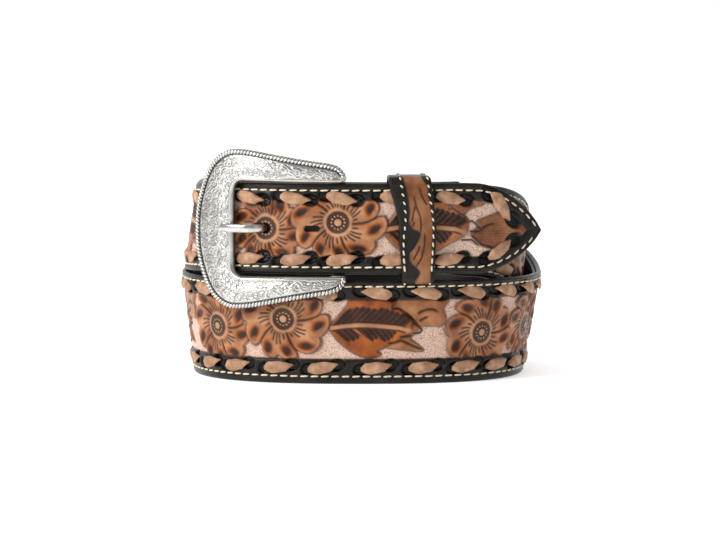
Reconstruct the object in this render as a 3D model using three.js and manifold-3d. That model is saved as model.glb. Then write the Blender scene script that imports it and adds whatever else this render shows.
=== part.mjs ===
// A buckled western belt wound in two turns, standing on its lower edge.
// Millimetres, +X right, +Y back, +Z up. The buckle and the pointed end face -Y.
import * as THREE from "three";
import Module from "manifold-3d";

const wasm = await Module();
wasm.setup();

// Plan of the coil: a rounded oval, seen from above.
const COIL_HALF_X = 76.5;
const COIL_HALF_Y = 70;
const COIL_POWER = 2.5;
const CENTRE_SHIFT = [-0.18, 2.13];

// Leather: a tooled layer and a lining with a glue line between them.
const BODY_WIDTH = 44.45;
const BILLET_WIDTH = 38.1;
const TOOLED_THICK = 2.3;
const LINING_THICK = 1.4;
const GLUE_LINE = 0.3;
const STRAP_THICK = TOOLED_THICK + GLUE_LINE + LINING_THICK;
const LINING_INSET = 0.5;
const PLY_GAP = 0.5;
const CLEAR = 0.35;

// The turns: the billet stands this far above the lower band, which leans out at its top.
const STACK_GAP = 2.7;
const FRONT_LEAN = 8.5;
const LEFT_LEAN = 6.5;
const UPPER_LEAN = -8.5;
const UPPER_TUCK = 1;
const cosine = (degrees) => Math.cos(THREE.MathUtils.degToRad(degrees));
const BAND_TOP = BODY_WIDTH * cosine(FRONT_LEAN);
const BILLET_HEIGHT = BAND_TOP + STACK_GAP + BILLET_WIDTH / 2;
const LEFT_HEIGHT = BODY_WIDTH * cosine(LEFT_LEAN) + CLEAR
  + (BILLET_WIDTH / 2) * cosine(UPPER_LEAN);
const BEHIND_DROP = 1.7;
const STATIONS_PER_TURN = 96;

// Adjustment holes and pointed end, as distances along the front from its middle.
const HOLE_PITCH = 22.2;
const LAST_HOLE = -20.7;
const HOLE_COUNT = 5;
const HOLE_LENGTH = 6.8;
const HOLE_WIDTH = 2.5;
const TIP_FROM_HOLE = 95.2;
const TAPER_LENGTH = 27;
const TIP_HALF = 0.7;
const TIP_DROP = 2.2;
const TIP_SPRING = 9.5;

// Hinge bar, tongue and fold.
const BAR_S = -9;
const BAR_RADIUS = 1.75;
const BAR_OFFSET = -(STRAP_THICK / 2 + PLY_GAP + TOOLED_THICK + CLEAR + BAR_RADIUS);
const FOLD_INNER = BAR_RADIUS + CLEAR;
const TAB_LENGTH = 54;
const TAB_RAMP = 11.5;
const TAB_OFFSET = -(STRAP_THICK * 1.5 + PLY_GAP + CLEAR + 0.05);
const TAB_BACK = TAB_OFFSET - TOOLED_THICK;
const TONGUE_WIDTH = 3.6;
const TONGUE_THICK = 2;
const TONGUE_TIP_X = -60;
const TONGUE_HOLE_LENGTH = 8.8;
const TONGUE_HOLE_WIDTH = TONGUE_WIDTH + 0.8;
const POST_RADIUS = 2.7;
const POST_HEAD = 1.8;

// Buckle frame. Its window takes the billet, and its arms lie clear of the lower band.
const BUCKLE_LEFT = -70.6;
const BUCKLE_WIDTH = 63.6;
const ARM_HEIGHT = 14.05;
const WINDOW_HALF = BILLET_WIDTH / 2 + 0.4;
const BUCKLE_HALF_HEIGHT = WINDOW_HALF + ARM_HEIGHT;
const BUCKLE_LIFT = -0.3;
const RIM_TILT = 0.012;
const FRAME_BACK = STRAP_THICK / 2 + 1.4;
const FRAME_THICK = 2.9;
const FRAME_TOP = FRAME_BACK + FRAME_THICK;
const BEAD = 2.6;
const BEVEL = 1.9;
const LUG_LENGTH = 8;
const LUG_HEIGHT = STACK_GAP - CLEAR - 0.3;

// Keeper, round the billet, the strap behind it and the folded tab.
const KEEPER_S = 22.9;
const KEEPER_WIDTH = 16;
const KEEPER_THICK = 3;
const KEEPER_BACK_STEP = 10;
// It sits askew: how far its left and right edges lie from KEEPER_S, by share of its height.
const KEEPER_LEFT = [[0, 6.6], [0.5, 7.9], [1, 12.2]];
const KEEPER_RIGHT = [[0, 6.6], [0.5, 7.5], [1, 5.4]];
const POST_S = [KEEPER_S - KEEPER_WIDTH / 2 - 6.9, KEEPER_S + KEEPER_WIDTH / 2 + 7.6];

const smooth = (t, a, b) => {
  const q = Math.min(1, Math.max(0, (t - a) / (b - a)));
  return q * q * (3 - 2 * q);
};

// Values at turns of the coil, eased from one to the next.
function eased(table, t) {
  let value = table[0][1];
  for (let i = 1; i < table.length; i++) {
    value += (table[i][1] - table[i - 1][1]) * smooth(t, table[i - 1][0], table[i][0]);
  }
  return value;
}

// Lean of the strap's face in degrees: positive where its top edge stands further out.
const LEAN = [[0, 0], [0.1, 0], [0.22, 4], [0.5, 3], [0.75, LEFT_LEAN], [1, FRONT_LEAN],
  [1.25, 10.6], [1.45, 3], [1.6, 0], [1.75, UPPER_LEAN], [1.95, 0]];
// Plies that the strap lies inside the plan oval.
const PLIES = [[0, 1], [0.1, 1.02], [0.2, 1.2], [0.28, 1.68], [0.36, 1.84], [0.5, 1.4],
  [0.62, 0.93], [0.76, 0]];

const leanAt = (t) => THREE.MathUtils.degToRad(eased(LEAN, t));

// The edge that stands furthest out stays on the plan oval where the strap leans.
function offsetAt(t) {
  const free = Math.max(0, (t - TIP_TURN + TIP_FREE) / TIP_FREE);
  const tuck = UPPER_TUCK * (smooth(t, 1.55, 1.7) - smooth(t, 1.8, 1.95));
  return TIP_SPRING * Math.pow(free, 1.6) - (STRAP_THICK + PLY_GAP) * eased(PLIES, t) - tuck
    - Math.abs(Math.sin(leanAt(t))) * widthAt(t) / 2;
}

function widthAt(t) {
  const grow = smooth(t, 0.065, 0.28) - smooth(t, 1.35, 1.6);
  return BILLET_WIDTH + (BODY_WIDTH - BILLET_WIDTH) * grow;
}

function heightAt(t) {
  const low = (widthAt(t) / 2) * Math.cos(leanAt(t));
  if (t < 1) {
    const start = BILLET_HEIGHT - BEHIND_DROP * smooth(t, 0.062, 0.105);
    return start + (low - start) * smooth(t, 0.1, 0.4);
  }
  const left = LEFT_HEIGHT + (BILLET_HEIGHT - LEFT_HEIGHT) * smooth(t, 1.77, 1.9);
  const top = left - TIP_DROP * smooth(t, 2.07, TIP_TURN + 0.03);
  return low + (top - low) * smooth(t, 1.23, 1.6);
}

// The plan oval as a table of points by distance from the front middle.
const PLAN_STEPS = 2880;
const plan = [{ x: 0, y: -COIL_HALF_Y, s: 0 }];
for (let i = 1; i <= PLAN_STEPS; i++) {
  const a = (2 * Math.PI * i) / PLAN_STEPS;
  const across = Math.pow(Math.abs(Math.sin(a)) / COIL_HALF_X, COIL_POWER);
  const along = Math.pow(Math.abs(Math.cos(a)) / COIL_HALF_Y, COIL_POWER);
  const r = Math.pow(across + along, -1 / COIL_POWER);
  const x = r * Math.sin(a), y = -r * Math.cos(a), last = plan[i - 1];
  plan.push({ x, y, s: last.s + Math.hypot(x - last.x, y - last.y) });
}
const TURN = plan[PLAN_STEPS].s;
const TIP_TURN = 2 + (LAST_HOLE + TIP_FROM_HOLE) / TURN;
const TIP_FREE = 40 / TURN;

function planAt(s) {
  const w = ((s % TURN) + TURN) % TURN;
  let lo = 0, hi = PLAN_STEPS;
  while (hi - lo > 1) {
    const mid = (lo + hi) >> 1;
    if (plan[mid].s <= w) lo = mid; else hi = mid;
  }
  const q = (w - plan[lo].s) / (plan[hi].s - plan[lo].s);
  const x = plan[lo].x + (plan[hi].x - plan[lo].x) * q;
  const y = plan[lo].y + (plan[hi].y - plan[lo].y) * q;
  const gx = Math.sign(x) * Math.pow(Math.abs(x) / COIL_HALF_X, COIL_POWER - 1) / COIL_HALF_X;
  const gy = Math.sign(y) * Math.pow(Math.abs(y) / COIL_HALF_Y, COIL_POWER - 1) / COIL_HALF_Y;
  const g = Math.hypot(gx, gy);
  return { x, y, nx: gx / g, ny: gy / g };
}

// A point by distance along the plan, distance out from it, and height.
function place(s, out, z) {
  const p = planAt(s);
  return new THREE.Vector3(p.x + p.nx * out + CENTRE_SHIFT[0],
    p.y + p.ny * out + CENTRE_SHIFT[1], z);
}

// The distance along the front where a point that far out has the given x.
function distanceAt(x, out) {
  let lo = -TURN / 4, hi = TURN / 4;
  for (let i = 0; i < 40; i++) {
    const mid = (lo + hi) / 2;
    if (place(mid, out, 0).x < x) lo = mid; else hi = mid;
  }
  return (lo + hi) / 2;
}

// A closed solid through rings of points. A loop of rings needs no end faces. The diagonals
// of opposite faces run alike, so two twisted layers stay parallel.
function loft(rings, loop = false) {
  const n = rings[0].length, points = rings.flat(), index = [];
  const last = loop ? rings.length : rings.length - 1;
  for (let i = 0; i < last; i++) {
    const a = i * n, b = ((i + 1) % rings.length) * n;
    for (let j = 0; j < n; j++) {
      const k = (j + 1) % n;
      if (2 * j < n) index.push(a + j, a + k, b + k, a + j, b + k, b + j);
      else index.push(a + j, a + k, b + j, a + k, b + k, b + j);
    }
  }
  if (!loop) {
    for (let j = 1; j < n - 1; j++) {
      index.push(0, j + 1, j);
      const end = (rings.length - 1) * n;
      index.push(end, end + j, end + j + 1);
    }
  }
  const geometry = new THREE.BufferGeometry().setFromPoints(points);
  geometry.setIndex(index);
  if (volume(geometry) < 0) {
    for (let i = 0; i < index.length; i += 3) {
      [index[i + 1], index[i + 2]] = [index[i + 2], index[i + 1]];
    }
    geometry.setIndex(index);
  }
  return geometry;
}

function volume(geometry) {
  const p = geometry.attributes.position, k = geometry.index.array;
  const a = new THREE.Vector3(), b = new THREE.Vector3(), c = new THREE.Vector3();
  let sum = 0;
  for (let i = 0; i < k.length; i += 3) {
    a.fromBufferAttribute(p, k[i]);
    b.fromBufferAttribute(p, k[i + 1]);
    c.fromBufferAttribute(p, k[i + 2]);
    sum += a.dot(b.cross(c)) / 6;
  }
  return sum;
}

function toSolid(geometry) {
  return new wasm.Manifold(new wasm.Mesh({
    numProp: 3,
    vertProperties: new Float32Array(geometry.attributes.position.array),
    triVerts: new Uint32Array(geometry.index.array),
  }));
}

function fromSolid(solid) {
  const mesh = solid.getMesh();
  const geometry = new THREE.BufferGeometry();
  geometry.setAttribute("position", new THREE.BufferAttribute(mesh.vertProperties, 3));
  geometry.setIndex(new THREE.BufferAttribute(mesh.triVerts, 1));
  return geometry;
}

const joined = (parts) => parts.map(toSolid).reduce((a, b) => a.add(b));
const cut = (solid, cutters) => cutters.map(toSolid).reduce((a, b) => a.subtract(b), solid);

// The strap's four corners at a turn of the coil, between two depths of the leather.
function strapRing(t, inner, outer, half) {
  const lean = leanAt(t), step = 1 / 960;
  const slope = Math.atan((heightAt(t + step) - heightAt(t - step)) / (2 * step * TURN));
  const corner = (across, depth) => place(
    t * TURN - Math.sin(slope) * across,
    offsetAt(t) + depth + Math.sin(lean) * across,
    heightAt(t) + Math.cos(slope) * Math.cos(lean) * across,
  );
  return [corner(-half, inner), corner(-half, outer), corner(half, outer), corner(half, inner)];
}

function halfAt(t) {
  const left = ((TIP_TURN - t) * TURN) / TAPER_LENGTH;
  if (left >= 1) return widthAt(t) / 2;
  const q = 1 - left;
  return TIP_HALF + (BILLET_WIDTH / 2 - TIP_HALF) * Math.pow(1 - Math.pow(q, 1.8), 0.8);
}

function strapRings(start, inner, outer, inset) {
  const rings = [], end = TIP_TURN - (inset * 1.4) / TURN;
  const tipStart = TIP_TURN - TAPER_LENGTH / TURN;
  const first = Math.ceil(start * STATIONS_PER_TURN + 0.3);
  rings.push(strapRing(start, inner, outer, halfAt(start) - inset));
  for (let i = first; i / STATIONS_PER_TURN < tipStart - 0.003; i++) {
    const t = i / STATIONS_PER_TURN;
    rings.push(strapRing(t, inner, outer, halfAt(t) - inset));
  }
  for (let i = 0; i <= 10; i++) {
    const t = tipStart + (end - tipStart) * (1 - Math.pow(1 - i / 10, 1.5));
    rings.push(strapRing(t, inner, outer, Math.max(0.4, halfAt(t) - inset)));
  }
  return rings;
}

// The skived end: round the hinge bar and back behind the strap.
function foldRings() {
  const half = BILLET_WIDTH / 2, foldOuter = FOLD_INNER + TOOLED_THICK;
  const ring = (a, b) => [
    place(a[0], a[1], BILLET_HEIGHT - half), place(b[0], b[1], BILLET_HEIGHT - half),
    place(b[0], b[1], BILLET_HEIGHT + half), place(a[0], a[1], BILLET_HEIGHT + half)];
  const flat = (s, inner) => ring([s, inner], [s, inner - TOOLED_THICK]);
  const rings = [], straight = TAB_LENGTH - TAB_RAMP;
  for (let i = 0; i <= 6; i++) {
    rings.push(flat(BAR_S + TAB_LENGTH - (straight * i) / 6, TAB_OFFSET));
  }
  rings.push(flat(BAR_S + 6, (TAB_OFFSET + BAR_OFFSET - FOLD_INNER) / 2 + 0.3));
  rings.push(flat(BAR_S, BAR_OFFSET - FOLD_INNER));
  for (let i = 1; i < 10; i++) {
    const a = Math.PI - (Math.PI * i) / 10;
    const at = (r) => [BAR_S - Math.sin(a) * r, BAR_OFFSET + Math.cos(a) * r];
    rings.push(ring(at(FOLD_INNER), at(foldOuter)));
  }
  return rings;
}

// A cutter or post: an oval outline in the strap's face, between two offsets.
function ovalRings(s, z, length, width, offsets, sides = 16) {
  return offsets.map(([out, grow]) => {
    const ring = [];
    for (let i = 0; i < sides; i++) {
      const a = (2 * Math.PI * i) / sides;
      const run = Math.sign(Math.cos(a)) * (length - width) / 2;
      ring.push(place(s + run + Math.cos(a) * (width / 2 + grow), out,
        z + Math.sin(a) * (width / 2 + grow)));
    }
    return ring;
  });
}

function holeCutters() {
  const cutters = [];
  for (let i = 0; i < HOLE_COUNT; i++) {
    const s = LAST_HOLE - i * HOLE_PITCH, t = 2 + s / TURN, out = offsetAt(t);
    const tongue = i === 1;
    cutters.push(loft(ovalRings(s, heightAt(t), tongue ? TONGUE_HOLE_LENGTH : HOLE_LENGTH,
      tongue ? TONGUE_HOLE_WIDTH : HOLE_WIDTH,
      [[out - STRAP_THICK / 2 - PLY_GAP / 2, 0], [out + STRAP_THICK, 0]])));
  }
  return cutters;
}

const postCutters = () => POST_S.map((s) => loft(ovalRings(s, BILLET_HEIGHT,
  2 * (POST_RADIUS + 0.3), 2 * (POST_RADIUS + 0.3),
  [[TAB_BACK - 0.8, 0], [-STRAP_THICK / 2 - PLY_GAP / 2, 0]])));

function tongueSlot() {
  const half = TONGUE_WIDTH / 2 + 1;
  const front = -STRAP_THICK / 2 - 0.1, back = BAR_OFFSET - FOLD_INNER - TOOLED_THICK - 1;
  return block(BAR_S - 5.5, BAR_S + 7, back, front, BILLET_HEIGHT - half, BILLET_HEIGHT + half);
}

function strapOuter() {
  const top = STRAP_THICK / 2, bottom = top - TOOLED_THICK;
  const strip = loft([...foldRings(), ...strapRings(BAR_S / TURN, bottom, top, 0)]);
  return fromSolid(cut(toSolid(strip), [...holeCutters(), ...postCutters(), tongueSlot()]));
}

function strapLining() {
  const top = STRAP_THICK / 2 - TOOLED_THICK - GLUE_LINE;
  const strip = loft(strapRings(2 / TURN, -STRAP_THICK / 2, top, LINING_INSET));
  return fromSolid(cut(toSolid(strip), [...holeCutters(), ...postCutters()]));
}

function post(s) {
  const size = 2 * POST_RADIUS;
  const seat = TAB_BACK - 0.3;
  return loft(ovalRings(s, BILLET_HEIGHT, size, size,
    [[-STRAP_THICK / 2 - PLY_GAP - 0.25, 0], [seat, 0], [seat - 0.01, POST_HEAD],
      [seat - 1.1, POST_HEAD - 0.2]]));
}

// The keeper's loop: inner and outer corners as offset and height. Its front wall hangs
// a little lower than the rest, before the lower band's top edge.
function keeperLoop() {
  const front = STRAP_THICK / 2 + 0.5, back = TAB_BACK - 0.4;
  const low = BILLET_HEIGHT - BILLET_WIDTH / 2 - CLEAR;
  const high = BILLET_HEIGHT + BILLET_WIDTH / 2 + CLEAR + 0.1;
  const face = front + KEEPER_THICK, rear = back - KEEPER_THICK * 0.8;
  const roof = high + KEEPER_THICK * 0.97, floor = BAND_TOP + 0.3;
  return [
    [[front, low + 2], [face, low + 2]], [[front, high - 8], [face, high - 8]],
    [[front, high - 0.3], [face - 0.1, high + 0.6]],
    [[front - 0.3, high], [face - 1.3, roof - 0.5]], [[front - 3, high], [front - 1, roof]],
    [[back + 3, high], [back + 2, roof]], [[back + 0.3, high], [back - 1, roof - 0.5]],
    [[back, high - 0.3], [rear, high + 0.8]], [[back, low + KEEPER_BACK_STEP], [rear, low + KEEPER_BACK_STEP]],
    [[back, low + 0.3], [rear, low - 0.7]], [[back + 0.3, low], [back - 1.4, floor + 0.25]],
    [[back + 3.6, low], [back + 1.6, floor]], [[front - 1.1, low], [front - 0.15, floor]],
    [[front - 0.3, low], [front + 0.4, floor - 1.35]],
    [[front - 0.1, low + 0.1], [face - 1.1, floor - 1.55]],
    [[front, low + 0.4], [face - 0.1, floor - 0.45]],
  ];
}

function keeper() {
  const edge = 0.8, low = BAND_TOP, high = BILLET_HEIGHT + BILLET_WIDTH / 2 + KEEPER_THICK;
  const rings = keeperLoop().map(([inside, outside]) => {
    const share = (outside[1] - low) / (high - low);
    const left = eased(KEEPER_LEFT, share), right = eased(KEEPER_RIGHT, share);
    const soft = inside.map((v, i) => outside[i] + (v - outside[i]) * 0.3);
    const at = (shift, p) => place(KEEPER_S + shift, p[0], p[1]);
    return [at(-left, inside), at(-left, soft), at(-left + edge, outside),
      at(right - edge, outside), at(right, soft), at(right, inside)];
  });
  return loft(rings, true);
}

// The buckle's outline and window, upper half, as shares of the buckle's width and of the
// half heights of the buckle and of the window.
const RIM = [[0, 0], [0.003, 0.18], [0.018, 0.37], [0.042, 0.54], [0.073, 0.7], [0.112, 0.83],
  [0.158, 0.92], [0.212, 0.98], [0.275, 1], [0.385, 0.98], [0.5, 0.94], [0.65, 0.888],
  [0.8, 0.842], [0.9, 0.812], [0.955, 0.772], [0.988, 0.705], [1, 0.63]];
const WINDOW = [[0.256, 0], [0.256, 0.28], [0.256, 0.55], [0.257, 0.76], [0.262, 0.88],
  [0.272, 0.95], [0.286, 0.99], [0.3, 1.01], [0.33, 1.02], [0.42, 1.015], [0.52, 1.01],
  [0.65, 1.005], [0.8, 1], [0.88, 1], [0.93, 1], [0.965, 1.005], [0.985, 1.035]];

// Frame section from the rope edge to the inner bevel: millimetres in, and offset.
const FRAME_SECTION = [[0, FRAME_BACK], [0, FRAME_TOP - 2.1], [0.5, FRAME_TOP - 0.6],
  [BEAD / 2, FRAME_TOP], [BEAD - 0.5, FRAME_TOP - 0.6], [BEAD + 0.2, FRAME_TOP - 1.2]];

function frameRings() {
  const size = ([x, z], high) => [BUCKLE_LEFT + BUCKLE_WIDTH * x, high * z];
  const tilt = (x) => RIM_TILT * (x - BUCKLE_LEFT - BUCKLE_WIDTH / 2);
  const half = RIM.map((rim, i) => [size(rim, BUCKLE_HALF_HEIGHT), size(WINDOW[i], WINDOW_HALF)]);
  const mirrored = half.slice(1).reverse().map((pair) => pair.map(([x, z]) => [x, -z]));
  return [...mirrored, ...half].map(([edge, inner]) => {
    const rim = [edge[0], edge[1] + tilt(edge[0])];
    const width = Math.hypot(rim[0] - inner[0], rim[1] - inner[1]);
    const at = (q, out) => {
      const s = distanceAt(rim[0] + (inner[0] - rim[0]) * q, FRAME_BACK + FRAME_THICK / 2);
      const middle = heightAt(2 + s / TURN) + BUCKLE_LIFT;
      return place(s, out, middle + rim[1] + (inner[1] - rim[1]) * q);
    };
    const bead = Math.min(1, (width * 0.42) / BEAD);
    const profile = FRAME_SECTION.map(([inwards, out]) => at((inwards * bead) / width, out));
    const middle = (BEAD * bead + width - BEVEL) / 2 / width;
    return [...profile, at(middle, FRAME_TOP - 0.4), at(1 - BEVEL / width, FRAME_TOP - 0.7),
      at(1 - 0.25 * BEVEL / width, FRAME_TOP - 1.5), at(1, FRAME_TOP - 2.1), at(1, FRAME_BACK)];
  });
}

function block(s0, s1, out0, out1, z0, z1) {
  const ring = (z) => [[s0, out0], [s1, out0], [s1, out1], [s0, out1]]
    .map(([s, out]) => place(s, out, z));
  return loft([ring(z0), ring(z1)]);
}

function hingeBar(z0, z1) {
  const ring = (z) => Array.from({ length: 14 }, (_, i) => {
    const a = (2 * Math.PI * i) / 14;
    return place(BAR_S + BAR_RADIUS * Math.cos(a), BAR_OFFSET + BAR_RADIUS * Math.sin(a), z);
  });
  return loft([ring(z0), ring(z1)]);
}

function buckleFrame() {
  const clear = BILLET_WIDTH / 2 + CLEAR;
  const s0 = BAR_S - LUG_LENGTH / 2, s1 = BAR_S + LUG_LENGTH / 2;
  const low = BILLET_HEIGHT - clear, high = BILLET_HEIGHT + clear;
  const back = BAR_OFFSET - BAR_RADIUS - 0.4;
  return fromSolid(joined([
    loft(frameRings()),
    block(s0, s1, back, FRAME_BACK + 1, low - LUG_HEIGHT, low),
    block(s0, s1, back, FRAME_BACK + 1, high, high + LUG_HEIGHT + 1),
    hingeBar(low - 1, high + 1),
  ]));
}

// The tongue: a flat bar with softened corners, swept in plan.
function barRing(s, out, ds, dout, width, thick) {
  const length = Math.hypot(ds, dout), ns = -dout / length, no = ds / length;
  const w = width / 2, h = thick / 2, soft = 0.55;
  const outline = [[-w, -h + soft], [-w, h - soft], [-w + soft, h], [w - soft, h],
    [w, h - soft], [w, -h + soft], [w - soft, -h], [-w + soft, -h]];
  return outline.map(([z, d]) => place(s + ns * d, out + no * d, BILLET_HEIGHT + z));
}

function tongueLoop() {
  const r = BAR_RADIUS + 0.3 + TONGUE_THICK / 2, rings = [];
  for (let i = 0; i < 20; i++) {
    const a = (2 * Math.PI * i) / 20;
    rings.push(barRing(BAR_S + r * Math.sin(a), BAR_OFFSET + r * Math.cos(a),
      Math.cos(a), -Math.sin(a), TONGUE_WIDTH, TONGUE_THICK));
  }
  return loft(rings, true);
}

function tongueShank() {
  const front = BAR_OFFSET + BAR_RADIUS + 0.3 + TONGUE_THICK / 2;
  const rest = FRAME_TOP + 0.35 + TONGUE_THICK / 2, hole = LAST_HOLE - HOLE_PITCH;
  const tip = distanceAt(TONGUE_TIP_X, rest), skin = STRAP_THICK / 2;
  const path = new THREE.CatmullRomCurve3([
    [BAR_S - 1, front], [(BAR_S + hole) / 2, front], [hole + 10, front], [hole + 4.8, front + 0.05],
    [hole + 2.4, -skin - 0.4], [hole + 1.6, skin * 0.3], [hole + 0.8, skin + 1.5],
    [hole - 1.2, rest - 1.5], [hole - 4.6, rest], [(tip + hole - 4.6) / 2, rest + 0.1],
    [tip, rest - 0.15],
  ].map(([s, out]) => new THREE.Vector3(s, out, 0)), false, "centripetal");
  const rings = [], count = 34;
  for (let i = 0; i <= count; i++) {
    const p = path.getPointAt(i / count), d = path.getTangentAt(i / count);
    const near = Math.min(1, (p.x - tip) / 1.8);
    const round = Math.sqrt(Math.max(0.12, 1 - (1 - near) * (1 - near)));
    rings.push(barRing(p.x, p.y, -d.x, -d.y, TONGUE_WIDTH * round,
      TONGUE_THICK * (0.6 + 0.4 * round)));
  }
  return loft(rings);
}

const buckleTongue = () => fromSolid(joined([tongueLoop(), tongueShank()]));

const leather = new THREE.MeshStandardMaterial({ color: 0x8a4f24, roughness: 0.55, metalness: 0 });
const black = new THREE.MeshStandardMaterial({ color: 0x15110f, roughness: 0.6, metalness: 0 });
const dark = new THREE.MeshStandardMaterial({ color: 0x2a1b12, roughness: 0.5, metalness: 0 });
const silver = new THREE.MeshStandardMaterial({ color: 0xa7a298, roughness: 0.35, metalness: 1 });

const belt = new THREE.Group();
function add(name, geometry, material) {
  const mesh = new THREE.Mesh(geometry, material);
  mesh.name = name;
  belt.add(mesh);
}

add("strap_outer", strapOuter(), leather);
add("strap_lining", strapLining(), black);
add("keeper", keeper(), dark);
add("buckle_frame", buckleFrame(), silver);
add("buckle_tongue", buckleTongue(), silver);
add("fold_post_near", post(POST_S[0]), silver);
add("fold_post_far", post(POST_S[1]), silver);

export default belt;
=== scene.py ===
"""A buckled western belt with carved flowers, wound in two turns and standing on its edge.

Sizes below are millimetres unless a comment says otherwise. Meshes are made in metres.
"""
import math

import bmesh
import bpy
import numpy as np
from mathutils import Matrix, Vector


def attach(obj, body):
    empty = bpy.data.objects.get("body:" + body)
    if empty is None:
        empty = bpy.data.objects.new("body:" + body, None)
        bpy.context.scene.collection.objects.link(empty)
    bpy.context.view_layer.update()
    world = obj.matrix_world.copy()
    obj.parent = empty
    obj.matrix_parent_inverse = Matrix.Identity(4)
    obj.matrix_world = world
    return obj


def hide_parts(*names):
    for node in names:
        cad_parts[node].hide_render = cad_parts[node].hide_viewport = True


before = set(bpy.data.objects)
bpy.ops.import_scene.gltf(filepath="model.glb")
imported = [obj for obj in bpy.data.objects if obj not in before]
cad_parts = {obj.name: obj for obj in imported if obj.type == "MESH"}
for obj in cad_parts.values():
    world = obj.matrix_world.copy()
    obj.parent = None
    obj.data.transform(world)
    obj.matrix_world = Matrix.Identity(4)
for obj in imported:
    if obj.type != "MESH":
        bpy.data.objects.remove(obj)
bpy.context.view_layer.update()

MM = 0.001


# Camera, floor and light

CAMERA_DISTANCE = 1400
CAMERA_ELEVATION = math.radians(4.5)
CAMERA_TARGET = (-0.98, -67.87, 44.9)
CAMERA_LENS = 167.6


def make_camera():
    lens = bpy.data.cameras.new("camera")
    lens.lens = CAMERA_LENS
    lens.sensor_width = 36
    lens.clip_end = 20
    camera = bpy.data.objects.new("camera", lens)
    target = Vector(CAMERA_TARGET) * MM
    back = Vector((0, -math.cos(CAMERA_ELEVATION), math.sin(CAMERA_ELEVATION)))
    camera.location = target + back * CAMERA_DISTANCE * MM
    camera.rotation_euler = (-back).to_track_quat("-Z", "Y").to_euler()
    bpy.context.scene.collection.objects.link(camera)
    bpy.context.scene.camera = camera


make_camera()


def soft_light(name, place, size, power):
    lamp = bpy.data.lights.new(name, "AREA")
    lamp.shape = "RECTANGLE"
    lamp.size, lamp.size_y = size
    lamp.energy = power
    obj = bpy.data.objects.new(name, lamp)
    obj.location = place
    aim = Vector((0, 0, 0.05)) - Vector(place)
    obj.rotation_euler = aim.to_track_quat("-Z", "Y").to_euler()
    bpy.context.scene.collection.objects.link(obj)


def make_studio():
    soft_light("key_softbox", (-0.62, -0.46, 0.42), (0.4, 0.45), 5.8)
    soft_light("fill_softbox", (0.9, -0.9, 0.45), (0.6, 0.6), 0.5)
    soft_light("top_softbox", (0, 0.1, 1.1), (0.8, 0.6), 2.2)
    world = bpy.data.worlds.new("studio")
    world.use_nodes = True
    nodes, links = world.node_tree.nodes, world.node_tree.links
    way = nodes.new("ShaderNodeTexCoord")
    split = nodes.new("ShaderNodeSeparateXYZ")
    links.new(way.outputs["Generated"], split.inputs["Vector"])
    sky = ramp(nodes, links, split.outputs["Z"], (0.0, 0.35), (0.25, 0.6), (0.6, 0.7))
    links.new(sky, nodes["Background"].inputs["Color"])
    nodes["Background"].inputs["Strength"].default_value = 0.55
    bpy.context.scene.world = world
    bpy.context.scene.view_settings.view_transform = "Standard"


# The coil: the same rules and named sizes as the CAD source

COIL_HALF_X = 76.5
COIL_HALF_Y = 70
COIL_POWER = 2.5
CENTRE_SHIFT = (-0.18, 2.13)
BODY_WIDTH = 44.45
BILLET_WIDTH = 38.1
STRAP_THICK = 4
TOOLED_THICK = 2.3
PLY_GAP = 0.5
CLEAR = 0.35
STACK_GAP = 2.7
FRONT_LEAN = 8.5
LEFT_LEAN = 6.5
UPPER_LEAN = -8.5
UPPER_TUCK = 1
BAND_TOP = BODY_WIDTH * math.cos(math.radians(FRONT_LEAN))
BILLET_HEIGHT = BAND_TOP + STACK_GAP + BILLET_WIDTH / 2
LEFT_HEIGHT = (BODY_WIDTH * math.cos(math.radians(LEFT_LEAN)) + CLEAR
               + BILLET_WIDTH / 2 * math.cos(math.radians(UPPER_LEAN)))
BEHIND_DROP = 1.7
HOLE_PITCH = 22.2
LAST_HOLE = -20.7
HOLE_COUNT = 5
TONGUE_HOLE = 1
TONGUE_HOLE_SIZE = (8.4, 4.0)
FREE_HOLE_SIZE = (6.8, 2.5)
TIP_FROM_HOLE = 95.2
TAPER_LENGTH = 27
TIP_HALF = 0.7
TIP_DROP = 2.2
TIP_SPRING = 9.5
LEAN = [(0, 0), (0.1, 0), (0.22, 4), (0.5, 3), (0.75, LEFT_LEAN), (1, FRONT_LEAN),
        (1.25, 10.6), (1.45, 3), (1.6, 0), (1.75, UPPER_LEAN), (1.95, 0)]
PLIES = [(0, 1), (0.1, 1.02), (0.2, 1.2), (0.28, 1.68), (0.36, 1.84), (0.5, 1.4),
         (0.62, 0.93), (0.76, 0)]
PLAN_STEPS = 2880


def smooth(value, low, high):
    q = np.clip((np.asarray(value, float) - low) / (high - low), 0, 1)
    return q * q * (3 - 2 * q)


def eased(table, t):
    value = table[0][1] + 0 * np.asarray(t, float)
    for (t0, v0), (t1, v1) in zip(table, table[1:]):
        value = value + (v1 - v0) * smooth(t, t0, t1)
    return value


def plan_oval():
    a = np.linspace(0, 2 * np.pi, PLAN_STEPS + 1)
    across = (np.abs(np.sin(a)) / COIL_HALF_X) ** COIL_POWER
    along = (np.abs(np.cos(a)) / COIL_HALF_Y) ** COIL_POWER
    r = (across + along) ** (-1 / COIL_POWER)
    x, y = r * np.sin(a), -r * np.cos(a)
    s = np.concatenate([[0], np.cumsum(np.hypot(np.diff(x), np.diff(y)))])
    return x, y, s


PLAN_X, PLAN_Y, PLAN_S = plan_oval()
TURN = PLAN_S[-1]
TIP_TURN = 2 + (LAST_HOLE + TIP_FROM_HOLE) / TURN
TIP_FREE = 40 / TURN


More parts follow.
